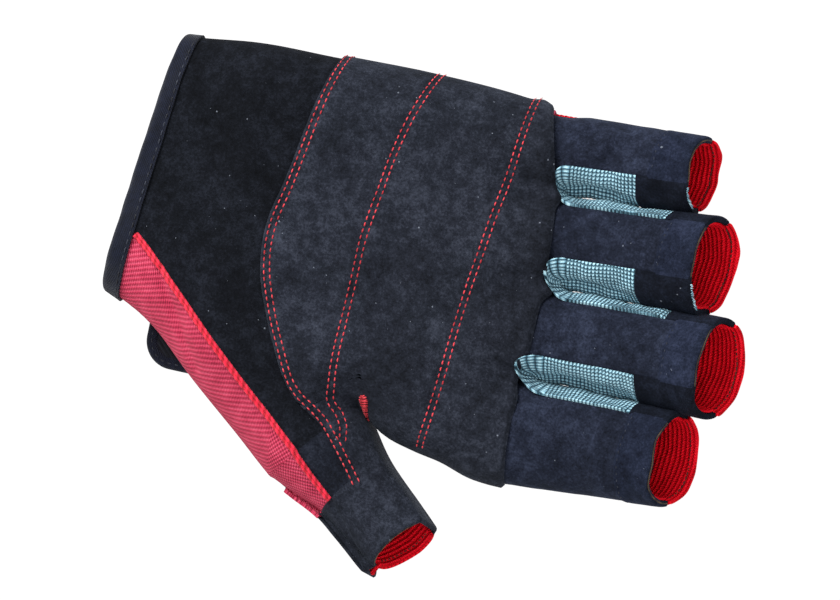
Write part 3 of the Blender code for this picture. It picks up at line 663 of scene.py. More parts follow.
def gussetKnit(name):
    # Blue-grey elastane knit in a bead stitch: pale raised beads, 1.15 mm apart each way,
    # as they are modelled, with painted shade darkening the gaps between them.
    made, tree, shader = newMaterial(name, 0.75, 0.15, 0.1, "#cfeaf4")
    cloth = addNode(tree, "TexCoord", out="UV")
    place = addNode(tree, "TexCoord", out="Object")
    found = []
    for axis in (0, 1):
        run = addNode(tree, "SeparateXYZ", {0: cloth}, out=axis)
        turn = addNode(tree, "Math", {0: run, 1: math.pi / 1.15}, operation="MULTIPLY")
        wave = addNode(tree, "Math", {0: turn}, operation="SINE")
        found.append(addNode(tree, "Math", {0: wave}, operation="ABSOLUTE"))
    both = addNode(tree, "Math", {0: found[0], 1: found[1]}, operation="MULTIPLY")
    bead = addNode(tree, "Math", {0: both, 1: 0.7}, operation="POWER")
    fuzz = addNode(tree, "TexNoise", {"Vector": place, "Scale": 800.0, "Detail": 2.0})
    soft = addNode(tree, "Math", {0: fuzz, 1: 0.25, 2: -0.06}, operation="MULTIPLY_ADD")
    # painted shade: the gaps between the raised beads are darkened
    shade = addNode(tree, "Math", {0: bead, 1: 0.9, 2: soft}, operation="MULTIPLY_ADD")
    colour = addNode(tree, "ValToRGB", {0: shade},
                     stops=[(0.1, "#162630"), (0.36, "#3f6475"), (0.68, "#7faabb"), (1.0, "#b6dae4")])
    dress(tree, shader, colour, bead, 0.9, 0.0005)
    return made


def spunYarn(name, dark, light, roughness=0.6, sheen=0.1):
    # Spun or braided yarn: short slanting strands of two tones, a little shiny
    made, tree, shader = newMaterial(name, roughness, 0.25, sheen)
    place = addNode(tree, "TexCoord", out="Object")
    fuzz = addNode(tree, "TexNoise", {"Vector": place, "Scale": 1500.0, "Detail": 2.0})
    strand = addNode(tree, "TexWave", {"Vector": place, "Scale": 180.0, "Distortion": 1.0}, out="Fac")
    half = addNode(tree, "Math", {0: fuzz, 1: 0.5}, operation="MULTIPLY")
    shade = addNode(tree, "Math", {0: strand, 1: 0.5, 2: half}, operation="MULTIPLY_ADD")
    colour = addNode(tree, "ValToRGB", {0: shade}, stops=[(0.25, dark), (0.75, light)])
    dress(tree, shader, colour, shade, 0.5, 0.0002)
    return made


def wovenTape(name, dark, light, pitch=0.8, roughness=0.65):
    # Woven tape: a fine twill whose slanting ribs catch a little light
    made, tree, shader = newMaterial(name, roughness, 0.12, 0.05)
    cloth = addNode(tree, "TexCoord", out="UV")
    along = addNode(tree, "SeparateXYZ", {0: cloth}, out=0)
    across = addNode(tree, "SeparateXYZ", {0: cloth}, out=1)
    slant = addNode(tree, "Math", {0: along, 1: across}, operation="ADD")
    slantTurn = addNode(tree, "Math", {0: slant, 1: tau / pitch}, operation="MULTIPLY")
    twill = addNode(tree, "Math", {0: slantTurn}, operation="SINE")
    place = addNode(tree, "TexCoord", out="Object")
    fuzz = addNode(tree, "TexNoise", {"Vector": place, "Scale": 500.0, "Detail": 3.0})
    soft = addNode(tree, "Math", {0: fuzz, 1: 0.6, 2: 0.15}, operation="MULTIPLY_ADD")
    shade = addNode(tree, "Math", {0: twill, 1: 0.18, 2: soft}, operation="MULTIPLY_ADD")
    colour = addNode(tree, "ValToRGB", {0: shade}, stops=[(0.2, dark), (0.75, light)])
    dress(tree, shader, colour, twill, 0.6, 0.0002)
    return made


looks = {
    "suedePalm": suede("suedePalm", "#06070a", "#0d0f14", "#1c1f27", 0.02, "#9fb0c8"),
    "suedeSecond": suede("suedeSecond", "#0f1116", "#1c1f27", "#343843", 0.06, "#b2c0d4"),
    "suedeThumb": suede("suedeThumb", "#0b0c11", "#151820", "#282c37", 0.04, "#a9b8ce"),
    "suedeTab": suede("suedeTab", "#07090f", "#0e1119", "#1b202d", 0.03, "#93abda"),
    "suedeFinger": suede("suedeFinger", "#0d1018", "#191d29", "#2d3344", 0.06, "#9db2da"),
    "suedeHem": suede("suedeHem", "#0d101a", "#181d2b", "#2a3043", 0.06, "#93abda"),
    "meshCrimson": meshKnit("meshCrimson"),
    "ribRed": ribKnit("ribRed", 1.3),
    "gussetBlue": gussetKnit("gussetBlue"),
    "seamCord": spunYarn("seamCord", "#96081c", "#d8203c"),
    "threadRed": spunYarn("threadRed", "#961c26", "#cc3a44"),
    "threadDark": spunYarn("threadDark", "#0b0d14", "#262b38"),
    "threadBrown": spunYarn("threadBrown", "#2a0c08", "#542416"),
    "cutEdge": spunYarn("cutEdge", "#1e1813", "#4a3b28", 0.9),
    "frayBlue": spunYarn("frayBlue", "#6d9cb0", "#b4dbe8"),
    "tapeNavy": wovenTape("tapeNavy", "#070910", "#161b2c"),
    "strapBlack": wovenTape("strapBlack", "#08090d", "#191c24", 1.6),
    "labelWhite": wovenTape("labelWhite", "#b9b9b4", "#dededa", 0.5),
    "hookBlack": wovenTape("hookBlack", "#0a0a0c", "#232327", 1.2, 0.45),
    "loopBlack": spunYarn("loopBlack", "#0f0f12", "#2c2c33", 0.95, 0.3),
}


def finishPiece(piece, look, body=None, across=None, stands=()):
    # material, slot, the CAD pieces it stands for, and the body that it follows; with across given, the place
    # is only baked in
    piece.data.materials.append(looks[look])
    if stands:
        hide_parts(*stands)
    if across:
        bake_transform(piece)
    else:
        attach(piece, body)
    return piece


def finishCloth(name, outer, inner, look, **where):
    # closed sheet with a map in millimetres, finished like every piece
    return finishPiece(makeSheet(name, outer, inner, clothUv(outer)), look, **where)


def thumbBend():
    # the thumb's name and the ends of a 14 mm span around its hinge line
    mid = np.array([*thumb["base"], 14.0])
    ahead = np.array([*thumbAhead, 0])
    return "thumb", mid - 7 * ahead, mid + 7 * ahead


def fingerBend(name, start=-3.0):
    # a finger's name and a span on it: from start to 12 mm past its hinge
    base = jointAt[name + "_curl"] + gloveShift
    return name, base + np.array([start, 0, 0]), base + np.array([12.0, 0, 0])


def spread(count, edge=0.0):
    # shares from 0 to 1, closer together at the ends where edge is above 0
    t = np.linspace(0, 1, count)
    return t * (1 - edge) + edge * (0.5 - 0.5 * np.cos(t * math.pi))


# ---- camera, floor and light
stage = dict(floorGlow=1.0, room=0.42,
             lamps={"key": ((-0.6, 0.65, 0.8), 0.6, 22.0), "fill": ((0.9, -0.2, 0.8), 1.1, 5.0),
                    "low": ((-0.2, -0.95, 0.5), 0.8, 3.0), "top": ((0.1, 0.1, 1.5), 1.6, 8.0)})
camera = dict(target=(-0.6, 8.0, 10.0), roll=12.0, towardFingers=9.0, distance=861.0, lens=135.0)


def makeStage():
    # camera above the palm, pale floor, four soft lamps and a pale room
    scene = bpy.context.scene
    data = bpy.data.cameras.new("camera")
    data.sensor_width = 36.0
    data.lens = camera["lens"]
    made = bpy.data.objects.new("camera", data)
    scene.collection.objects.link(made)
    roll, tilt = math.radians(camera["roll"]), math.radians(camera["towardFingers"])
    right = np.array([math.cos(roll), math.sin(roll), 0])
    back = math.sin(tilt) * right + np.array([0, 0, math.cos(tilt)])
    level = np.array([right[0], right[1], 0]) * math.cos(tilt)
    up = np.cross(back, level + np.array([0, 0, -math.sin(tilt)]))
    across = np.cross(up, back)
    place = np.array(camera["target"]) + back * camera["distance"]
    turn = mathutils.Matrix(np.stack([across, up, back], 1).tolist()).to_4x4()
    made.matrix_world = mathutils.Matrix.Translation(place * 0.001) @ turn
    data.clip_start, data.clip_end = 0.05, 20
    scene.camera = made
    bpy.ops.mesh.primitive_plane_add(size=6, location=(0, 0, -0.0004))
    floor = bpy.context.object
    floor.name = "floor"
    ground, tree, shader = newMaterial("paleFloor", 0.9, 0.0)
    shader.inputs["Base Color"].default_value = (0.05, 0.05, 0.05, 1)
    shader.inputs["Emission Color"].default_value = (1, 1, 1, 1)
    shader.inputs["Emission Strength"].default_value = stage["floorGlow"]
    floor.data.materials.append(ground)
    for word, (place, size, power) in stage["lamps"].items():
        lamp = bpy.data.lights.new(word, "AREA")
        lamp.size = size
        lamp.energy = power
        light = bpy.data.objects.new(word, lamp)
        light.location = place
        light.rotation_euler = mathutils.Vector(place).to_track_quat("Z", "Y").to_euler()
        scene.collection.objects.link(light)
    world = bpy.data.worlds.new("paleRoom")
    world.use_nodes = True
    world.node_tree.nodes["Background"].inputs[0].default_value = (1, 1, 1, 1)
    world.node_tree.nodes["Background"].inputs[1].default_value = stage["room"]
    scene.world = world
    scene.view_settings.view_transform = "Standard"


makeStage()
print("stage made")

# ---- sizes that the palm and the fingers share
fingerMake = dict(hem=12.0, gussetShare=0.66, outerLeg=4.0, columns=44, rib=1.3, bead=(1.15, 1.05))
# bent ends of the gussets, by the upper finger: where the legs start, reach towards the palm,
# height of the rolled rim, slant, how far the second palm layer gives way, and how far it
# reaches past the lower corner
gussets = {"little": dict(start=7.4, reach=5.0, roll=0.0, lean=0.0, notch=0.0, tongue=1.6),
           "ring": dict(start=10.4, reach=6.4, roll=0.9, lean=-0.12, notch=0.0, tongue=2.4),
           "middle": dict(start=7.6, reach=8.0, roll=1.3, lean=-0.2, notch=1.5, tongue=0.0)}

# ---- palm
palm = dict(rows=150, columns=130, thick=1.1, thumbRows=60)


def palmGrid(rows, columns):
    # rows along the glove, columns from the lower side to the little finger's edge
    x = np.linspace(0, 106, rows)
    x = np.sort(np.concatenate([x, [meshEnd, crotch[0]]]))
    x = np.repeat(x[:, None], columns, 1)
    y = palmLow(x) + (littleEdge(x) - palmLow(x)) * spread(columns, 0.6)
    return x, y


def makePalm():
    # suede palm: one sheet on the palm side, cuff to knuckles
    x, y = palmGrid(palm["rows"], palm["columns"])
    piece = gloveSheet("palmPanel", x, y, 1, 0.0, -palm["thick"])
    finishPiece(piece, "suedePalm", across=thumbBend(), stands=["palm_panel"])
    return piece


def thumbAcross(s, share):
    # sideways distance for a share of the way to the thumb's outer or inner side
    return np.where(share < 0, share * (thumbOuter(s) - 0.15), share * (thumbInner(s) - 0.15))


def thumbGrid(s0, s1, a0, a1, rows, columns, edge=0.6):
    # s along the thumb; a0 and a1 are shares of the way out, -1 outer, 1 inner side
    s = np.linspace(s0, s1, rows)[:, None]
    low = a0(s) if callable(a0) else a0
    high = a1(s) if callable(a1) else a1
    share = low + (high - low) * spread(columns, edge)
    px, y = thumbPlan(s, thumbAcross(s, share))
    return unskew(px, y), y


meshShare = smoothLine([(-2, -0.245), (0, -0.25), (9, -0.34), (17.4, -0.42), (30, -0.45), (40, -0.45)])
hemStart = thumb["length"] - thumb["hem"]


def wrapped(x, y, back, outside, inside):
    # sheet on the palm side whose last column carries on round the edge onto the back
    xb, yb = back
    outer = np.concatenate([gloveSurface(x, y, 1, outside), gloveSurface(xb, yb, -1, outside)], 1)
    inner = np.concatenate([gloveSurface(x, y, 1, inside), gloveSurface(xb, yb, -1, inside)], 1)
    return outer, inner


def makeThumb():
    # front, folded end, mesh, back, ribbed lining and the edge of the opening
    bend = thumbBend()
    rows = palm["thumbRows"]
    x, y = thumbGrid(0.0, hemStart, meshShare, 1.0, rows, 70)
    outer, inner = wrapped(x, y, thumbGrid(0.0, hemStart, 0.998, 0.62, rows, 16, 0), 0.0, -palm["thick"])
    finishCloth("thumbFront", outer, inner, "suedeThumb", across=bend,
                stands=["thumb_front"])
    # the end, folded under, wraps the outer side too; its rounded rim stands a little proud
    s = np.linspace(hemStart - 0.4, thumb["length"], 40)[:, None]
    near = quarterRound((thumb["length"] - s) / 1.2)
    ends = (hemStart - 0.4, thumb["length"])
    x, y = thumbGrid(*ends, -1.0, 1.0, 40, 90)
    grooveShare = -0.42 - 0.5 * (s - hemStart) / thumb["hem"]
    groove = 0.35 * np.exp(-(((2 * spread(90, 0.6)[None] - 1 - grooveShare) / 0.07) ** 2))
    start = 0.12 + 0.25 * np.clip((s - hemStart + 0.4) / 0.6, 0, 1)
    low = thumbGrid(*ends, -0.7, -0.998, 40, 14, 0)
    high = thumbGrid(*ends, 0.998, 0.62, 40, 16, 0)
    lift = start - 0.6 * (1 - near)
    outer = np.concatenate([gloveSurface(*low, -1, lift), gloveSurface(x, y, 1, lift - groove),
                            gloveSurface(*high, -1, lift)], 1)
    inner = np.concatenate([gloveSurface(*low, -1, -0.9), gloveSurface(x, y, 1, -0.9),
                            gloveSurface(*high, -1, -0.9)], 1)
    finishCloth("thumbHem", outer, inner, "suedeSecond", across=bend,
                stands=["thumb_hem"])
    x, y = thumbGrid(0.0, hemStart, -1.0, lambda s: meshShare(s) - 0.005, 50, 30)
    finishPiece(gloveSheet("thumbMesh", x, y, 1, -0.15, -1.2), "meshCrimson", across=bend)
    x, y = thumbGrid(0.0, hemStart, -1.0, 0.66, 50, 50)
    finishPiece(gloveSheet("thumbBack", x, y, -1, 0.0, -palm["thick"]), "meshCrimson", across=bend,
                stands=["thumb_back"])
    # ribbed knit that lines the end and shows in the opening
    rib = tau / fingerMake["rib"]
    ribStart = thumb["length"] - 18
    x, y = thumbGrid(ribStart, thumb["length"] + 0.4, -0.82, 0.93, 150, 60)
    s = np.linspace(ribStart, thumb["length"] + 0.4, 150)[:, None]
    outer = gloveSurface(x, y, -1, -0.95)
    inner = gloveSurface(x, y, -1, -1.75 + 0.2 * np.cos(s * rib))
    ribUv = np.stack([s + 0 * x, 14.0 * np.linspace(-0.9, 0.93, 60)[None] + 0 * x], -1)
    finishPiece(makeSheet("thumbRibEnd", outer, inner, ribUv), "ribRed", across=bend)
    x, y = thumbGrid(ribStart, thumb["length"] - 1.2, -0.8, 0.88, 130, 60)
    s = np.linspace(ribStart, thumb["length"] - 1.2, 130)[:, None]
    outer = gloveSurface(x, y, 1, -0.95)
    inner = gloveSurface(x, y, 1, -1.5 + 0.2 * np.cos(s * rib))
    finishCloth("thumbRibLining", outer, inner, "ribRed", across=bend)
    # red binding round the back of the opening, its brown stitch row and the raw front edge
    share = np.linspace(-0.8, 0.93, 90)
    for word, length, side, offset, size, look in (("Binding", 0.2, -1, -0.6, 0.6, "ribRed"),
                                                   ("CutEdge", -0.05, 1, -0.55, 0.2, "cutEdge")):
        s = np.full(90, thumb["length"] + length)
        px, y = thumbPlan(s, thumbAcross(s, share))
        x = unskew(px, y)
        path = gloveSurface(x, y, side, offset)
        up = gloveSurface(x, y, side, offset + 1.0) - path
        fade = np.clip(1 - np.abs(np.linspace(-1, 1, 90)) ** 8, 0.1, 1)[:, None]
        taper = lambda i, angle: size * fade + 0 * angle
        cord = makeCord("thumb" + word, path, unit(up), size, 10, taper)
        finishPiece(cord, look, across=bend)
    s = np.full(90, thumb["length"] - 1.3)
    px, y = thumbPlan(s, thumbAcross(s, share * 0.95))
    x = unskew(px, y)
    path = gloveSurface(x, y, -1, -1.72)
    up = path - gloveSurface(x, y, -1, -0.7)
    row = (path, unit(up))
    finishPiece(makeStitches("thumbRimStitches", [row], 1.3, 1.25, 0.2), "threadBrown", across=bend)


overlayEdge = smoothLine([(-64, 68.6), (-60.5, 65.6), (-57.6, 61.4), (-54.7, 57.2), (-51.5, 53.8),
                          (-48.5, 51.6), (-41.8, 48.0), (-31.7, 43.3), (-19.9, 39.6), (-9.0, 39.0),
                          (2.8, 41.4), (21.6, 44.6), (39.5, 48.4)])
overlay = dict(lift=0.15, thick=1.1, rows=130, columns=140)


fingerLine = smoothLine([(-66, 110.6), (-50, 111.2), (-36, 112.4), (-24, 113.6), (-11, 114.8),
                         (2, 115.2), (14, 114.2), (26, 112.8), (34, 111.0), (38, 109.6)])


def overlayEnd(y):
    # where the second layer stops over the fingers, with a notch at the last gusset
    end = fingerLine(y)
    for name, g in gussets.items():
        line = fingers[name]["sides"][1]
        end = end - g["notch"] * np.exp(-(((y - line - 1.5) / 5.2) ** 4))
        end = end + g["tongue"] * np.exp(-(((y - line + 0.4) / 2.0) ** 2))
    return end + 0.25 * np.sin(y * 0.16)


def overlayFold(x, y):
    # soft roll behind the layer's end: full at the little finger, gone at the index
    full = 0.1 + 0.9 * ease(-34, 4, y)
    return 0.9 * full * np.exp(-(((x - overlayEnd(y) + 3.4) / 2.3) ** 2))


def overlayTop(x, y):
    # height of the second layer's face over the palm
    return overlay["lift"] + overlay["thick"] + overlayFold(x, y) + 0.02


def makeOverlay():
    # second suede layer: rows run from its curved edge to the knuckle line
    share = 0.004 + 0.992 * spread(overlay["columns"], 0.6)
    start = np.full(len(share), 50.0)
    for _ in range(40):
        y = palmLow(start) + (littleEdge(start) - palmLow(start)) * share
        start = 0.6 * start + 0.4 * unskew(overlayEdge(np.maximum(y, -64)), y)
    yEnd = palmLow(110.0) + (littleEdge(110.0) - palmLow(110.0)) * share
    stop = overlayEnd(yEnd)
    along = np.linspace(0.016, 0.985, overlay["rows"])
    along = np.concatenate([[0, 0.003, 0.008], along, [0.992, 0.997, 1.0]])
    x = start + along[:, None] * (stop - start)
    y = palmLow(x) + (littleEdge(x) - palmLow(x)) * share
    rounded = np.minimum(1, 0.25 + along * 110)[:, None]
    # the rounded end is thinner towards the index, where the layer runs on into the finger
    thin = 0.75 + 0.2 * (1 - ease(-34, 4, yEnd))
    end = 1 - thin * ease(0.985, 1.0, along)[:, None]
    fold = overlayFold(x, y)
    outer = gloveSurface(x, y, 1, overlay["lift"] + overlay["thick"] * rounded * end + fold)
    inner = gloveSurface(x, y, 1, overlay["lift"] + 0.5 * fold)
    finishCloth("palmSecondLayer", outer, inner, "suedeSecond", across=thumbBend(),
                stands=["palm_reinforcement"])
    # its end on the thumb: the left edge thins out, the rest runs to the thumb's hem
    edgeShare = smoothLine([(-2, 0.41), (0, 0.40), (5, 0.38), (9.4, 0.35), (14, 0.29), (19, 0.21), (24, 0.0)])
    rows = 70
    s = np.linspace(-0.4, hemStart + 1.6, rows)[:, None]
    x, y = thumbGrid(-0.4, hemStart + 1.6, edgeShare, 1.0, rows, 70)
    side = np.minimum(1, 0.25 + spread(70, 0.6) * 30)
    fade = 1 - ease(6, hemStart + 1.6, s)
    lift = 0.36 + (overlay["lift"] + overlay["thick"] * side - 0.36) * fade
    high = thumbGrid(-0.4, hemStart + 1.6, 0.998, 0.64, rows, 14, 0)
    outer = np.concatenate([gloveSurface(x, y, 1, lift), gloveSurface(*high, -1, lift[:, -1:])], 1)
    inner = np.concatenate([gloveSurface(x, y, 1, 0.05), gloveSurface(*high, -1, 0.05)], 1)
    finishCloth("thumbSecondLayer", outer, inner, "suedeSecond",
                across=thumbBend(), stands=["thumb_reinforcement"])


def makeBack():
    # crimson back, and the mesh strip that comes round onto the palm side
    x = np.repeat(np.sort(np.concatenate([np.linspace(0, 110, 90), [51.4, crotch[0]]]))[:, None], 90, 1)
    y = backLow(x) + (littleEdge(x) - backLow(x)) * spread(90, 0.6)
    finishPiece(gloveSheet("backPanel", x, y, -1, 0.0, -palm["thick"]), "meshCrimson", across=thumbBend(),
                stands=["back_panel"])
    x = np.repeat(np.linspace(0, meshEnd - 0.05, 110)[:, None], 30, 1)
    low = np.maximum(outerEdge(x), backLow(x))
    y = low + (np.maximum(meshSeam(x), low + 0.2) - low) * spread(30, 0.5)
    outer = gloveSurface(x, y, 1, -0.15)
    finishPiece(makeSheet("sideMesh", outer, gloveSurface(x, y, 1, -1.2), clothUv(outer)), "meshCrimson",
                across=thumbBend(), stands=["side_mesh_panel"])


def makeSeamCord():
    # two-ribbed overlocked cord over the seam between palm and mesh
    x = np.linspace(5, meshEnd - 0.4, 120)
    hand = np.stack([x + skew(x) * meshSeam(x), meshSeam(x)], 1)
    s = np.linspace(1.0, hemStart - 0.3, 60)
    px, py = thumbPlan(s, thumbAcross(s, meshShare(s)))
    plan = evenly(np.vstack([hand, np.stack([px, py], 1)]), 0.35)
    for name, shift, radius in (("seamCordInner", -0.4, 0.5), ("seamCordOuter", 0.45, 0.45)):
        path, up = glovePath(plan, 1, 0.45, shift)
        twist = lambda i, angle: radius * (1 + 0.13 * np.sin(angle * 2 + i * tau * 0.35 / 1.1))
        piece = makeCord(name, path, up, radius, 12, twist)
        stands = ["side_piping", "thumb_piping"] if shift < 0 else []
        finishPiece(piece, "seamCord", across=thumbBend(), stands=stands)


def makePalmStitches():
    # two rows of red stitches along each route, 1.56 mm apart
    rows = []
    for name, route in rowRoutes.items():
        plan = densePath(route, 0.5)
        for shift in (-0.78, 0.78):
            rows.append(glovePath(plan, 1, overlayTop, shift))
    finishPiece(makeStitches("palmRedStitches", rows, 1.8, 1.25, 0.21), "threadRed", across=thumbBend())


makePalm()
makeThumb()
makeOverlay()
makeBack()
makeSeamCord()
makePalmStitches()
print("palm, thumb, second layer, back and seam made")


# ---- cuff
def makeCuffBinding():
    # navy tape folded over the cuff edge: a U profile carried round the opening
    down, up = np.linspace(4.4, 0.6, 7), np.linspace(0.6, 4.4, 7)
    bow = np.linspace(0, math.pi, 9)[1:-1]
    legs = np.concatenate([down, 0.6 - 1.6 * np.sin(bow), up])
    lifts = np.concatenate([np.full(7, 0.75), -0.55 + 1.35 * np.cos(bow), np.full(7, -1.75)])
    insideLegs = np.concatenate([down, np.full(7, 0.3), up])
    insideLifts = np.concatenate([np.full(7, 0.05), np.linspace(0.05, -1.15, 7), np.full(7, -1.15)])
    stations = []
    for share in spread(120, 0.6)[::-1]:
        stations.append((share, 1))
    for share in spread(120, 0.6):
        stations.append((share, -1))
    outer, inner = [], []
    for share, side in stations:
        ring = []
        for xs, heights in ((legs, lifts), (insideLegs, insideLifts)):
            y = outerEdge(xs) + (littleEdge(xs) - outerEdge(xs)) * share
            puff = 0.12 * math.sin(share * 60) if side > 0 else 0
            ring.append(gloveSurface(xs, y, side, heights + puff))
        outer.append(ring[0])
        inner.append(ring[1])
    outer, inner = np.array(outer), np.array(inner)
    finishCloth("cuffBinding", outer, inner, "tapeNavy", body="hand",
                stands=["cuff_binding"])
    share = np.linspace(0.01, 0.99, 160)
    x = np.full(160, 3.6)
    y = outerEdge(x) + (littleEdge(x) - outerEdge(x)) * share
    plan = np.stack([x + skew(x) * y, y], 1)
    rows = [glovePath(evenly(plan, 0.5), side, 0.78) for side in (1, -1)]
    finishPiece(makeStitches("cuffStitches", rows, 2.4, 1.7, 0.2), "threadDark", body="hand")


makeCuffBinding()
print("cuff made")

# ---- fingers
# how far each finger's front sinks under the second palm layer
frontSink = {"little": 1.0, "ring": 0.8, "middle": 0.35, "index": 0.2}


def arcGrid(s0, s1, t0, t1, rows, columns):
    # even grid of lengths and angles on a finger
    t = np.repeat(np.linspace(t0, t1, columns)[None], rows, 0)
    s = s0 + (s1 - s0) * np.linspace(0, 1, rows)[:, None] + 0 * t
    return s, t


def rimWave(name, t):
    # the cut rim wanders a little round the finger
    seed = 3.0 + fingerNames.index(name)
    return 0.35 * np.sin(np.radians(t) * 2 + seed) + 0.2 * np.sin(np.radians(t) * 5 + seed * 2)


def fingerUp(name, s, t, offset, sign=1):
    # path on a finger with the normals that stitches or edges stand on
    path = fingerSurface(name, s, t, offset)
    up = sign * (fingerSurface(name, s, t, offset + 1.0) - path)
    return path, unit(up)


def frontGrid(name, s0, s1, rows, columns):
    # grid over a finger's front whose sides follow the bent end of each gusset: in plan
    # a half ellipse from the leg's edge to the middle between two fingers
    f = fingers[name]
    k = fingerNames.index(name)
    s = np.linspace(s0, s1, rows)[:, None]
    sides = []
    for step, angle in ((-1, f["front"][0]), (1, f["front"][1])):
        edge = angle + 0 * s
        if 0 <= k + step < len(fingerNames):
            g = gussets[fingerNames[min(k, k + step)]]
            other = fingers[fingerNames[k + step]]
            own = f["line"][0] + f["wide"][0] * math.cos(math.radians(angle))
            turn = math.radians(other["front"][(1 - step) // 2])
            facing = other["line"][0] + other["wide"][0] * math.cos(turn)
            middle = 0.5 * (own + facing)
            inwards = np.clip((g["start"] + 1.2 - s) / g["reach"], 0, 1)
            y = middle + (own - middle) * np.sqrt(1 - inwards**2)
            tight = np.degrees(np.arccos(np.clip((y - f["line"][0]) / f["wide"][0], -1, 1)))
            edge = np.where(s < g["start"] + 1.2, tight, edge)
        sides.append(edge)
    t = sides[0] + (sides[1] - sides[0]) * np.linspace(0, 1, columns)[None]
    return s + 0 * t, t, np.minimum(t - sides[0], sides[1] - t)


def makeFinger(name):
    # front, hem, ribbed back, lining, raw edge and stitch rows of one finger
    f = fingers[name]
    length = fingerLength(name)
    hemAt = length - fingerMake["hem"]
    bend = fingerBend(name)
    t0, t1 = f["front"]
    s, t, inset = frontGrid(name, -9.0, hemAt + 0.6, 130, fingerMake["columns"])
    edge = inset / 4.0
    sunk = frontSink[name] * (1 - ease(2.0, 9.0, s)) + 0.9 * (1 - ease(-9, -3, s))
    lift = 0.4 * np.clip(edge, 0, 1) ** 0.5 - 0.1 - sunk
    outer = fingerSurface(name, s, t, lift)
    inner = fingerSurface(name, s, t, lift - palm["thick"])
    finishCloth(name + "Front", outer, inner, "suedeFinger", across=bend,
                stands=[name + "_front"])
    # hem: the front turned under, so a little thicker, with a rounded end
    s, t = arcGrid(hemAt, length, t0, t1, 44, fingerMake["columns"])
    s = s + rimWave(name, t) * (s - hemAt) / fingerMake["hem"]
    near = (length - s) / 1.3
    start = np.clip((s - hemAt) / 0.8, 0, 1)
    lift = 0.34 + 0.22 * start ** 0.5 - 0.6 * (1 - quarterRound(near))
    outer = fingerSurface(name, s, t, lift)
    inner = fingerSurface(name, s, t, -1.2 + 0 * s)
    finishCloth(name + "Hem", outer, inner, "suedeHem", across=bend,
                stands=[name + "_hem"])
    # ribbed back: plain outside, ribs round the inside
    first = -18 if name != "little" else t0 - 1
    last = 198 if name != "index" else t1 + 1
    rib = tau / fingerMake["rib"]
    s, t = arcGrid(-3.0, length + 1.0, last, first + 360, 330, 64)
    s = s + rimWave(name, t) * ease(0.7, 1.0, s / length)
    fold = ease(length - 0.5, length + 0.9, s)
    outer = fingerSurface(name, s, t, 0.0 - 0.35 * fold + 0.05 * np.cos(s * rib))
    inner = fingerSurface(name, s, t, -1.35 + 0.2 * np.cos(s * rib) * (1 - fold) + 0.3 * fold)
    finishPiece(makeSheet(name + "Back", outer, inner, tubeUv(s, t)), "ribRed", across=bend,
                stands=[name + "_back"])
    # ribbed lining under the front, seen through the opening
    s, t = arcGrid(hemAt - 6, length - 0.9, first - 2, last + 2, 130, 60)
    s = s + rimWave(name, t) * ease(0.7, 1.0, s / length)
    outer = fingerSurface(name, s, t, -1.35 + 0 * s)
    inner = fingerSurface(name, s, t, -1.75 + 0.2 * np.cos(s * rib))
    finishPiece(makeSheet(name + "Lining", outer, inner, tubeUv(s, t)), "ribRed", across=bend)
    # raw edge of the front's rim
    t = np.linspace(t0 + 2, t1 - 2, 90)
    path, up = fingerUp(name, length + rimWave(name, t) + 0.02, t, -0.55)
    finishPiece(makeCord(name + "CutEdge", path, up, 0.2, 8), "cutEdge", across=bend)
    # stitch rows: the hem's on the palm side, and the brown one inside the back's rim
    t = np.linspace(t0 + 5, t1 - 5, 70)
    row = fingerUp(name, np.full(70, hemAt + 1.1), t, 0.42)
    finishPiece(makeStitches(name + "HemStitches", [row], 2.0, 1.2, 0.16), "threadDark", across=bend)
    t = np.linspace(last + 4, first + 356, 110)
    row = fingerUp(name, length - 0.75 + rimWave(name, t), t, -1.35, -1)
    finishPiece(makeStitches(name + "RimStitches", [row], 1.3, 1.25, 0.2), "threadBrown", across=bend)


def legEnd(name, word):
    # where a gusset leg stops: a share of the finger, further on for the lower finger
    more = fingerMake["outerLeg"] if word == "outer" else 0.0
    return fingerLength(name) * fingerMake["gussetShare"] + more


def legWidth(angles):
    # distance round the finger between a leg's two edges
    return np.radians(abs(angles[0, -1] - angles[0, 0])) * patternRadius


def legAngles(name, word, v):
    # angle round the finger of a gusset leg at share v, from the palm side to the back
    if word == "inner":
        return fingers[name]["front"][1] - 2 + v * (200 - fingers[name]["front"][1] + 2)
    return fingers[name]["front"][0] + 2 + v * (-18 - fingers[name]["front"][0] - 2)


def bead(u, v, size):
    # knit beads: a bump per stitch, u and v in millimetres
    long, wide = fingerMake["bead"]
    along = np.abs(np.sin(u * math.pi / long)) ** 0.6
    return size * (along * np.abs(np.sin(v * math.pi / wide)) ** 0.6 - 0.5)


def gussetLift(word, s, v, end):
    # the lower finger's leg rolls up at its palm-side edge; both ruffle slightly
    ruffle = 0.5 * np.sin(s * 0.32 + (0.4 if word == "inner" else 2.6)) + 0.2 * np.sin(s * 0.9)
    roll = np.exp(-((v / 0.13) ** 2)) * (0.45 if word == "inner" else 1.0)
    hollow = 2.6 * np.exp(-(((v - 0.5) / 0.2) ** 2)) if word == "inner" else 0.0
    sunk = hollow * np.sin(np.clip(s / end, 0, 1) * math.pi)
    return (0.15 + ruffle * ease(0, 1, v * 3) * 0.6 + roll - sunk) * ease(0, 3, end - s) + 0.1


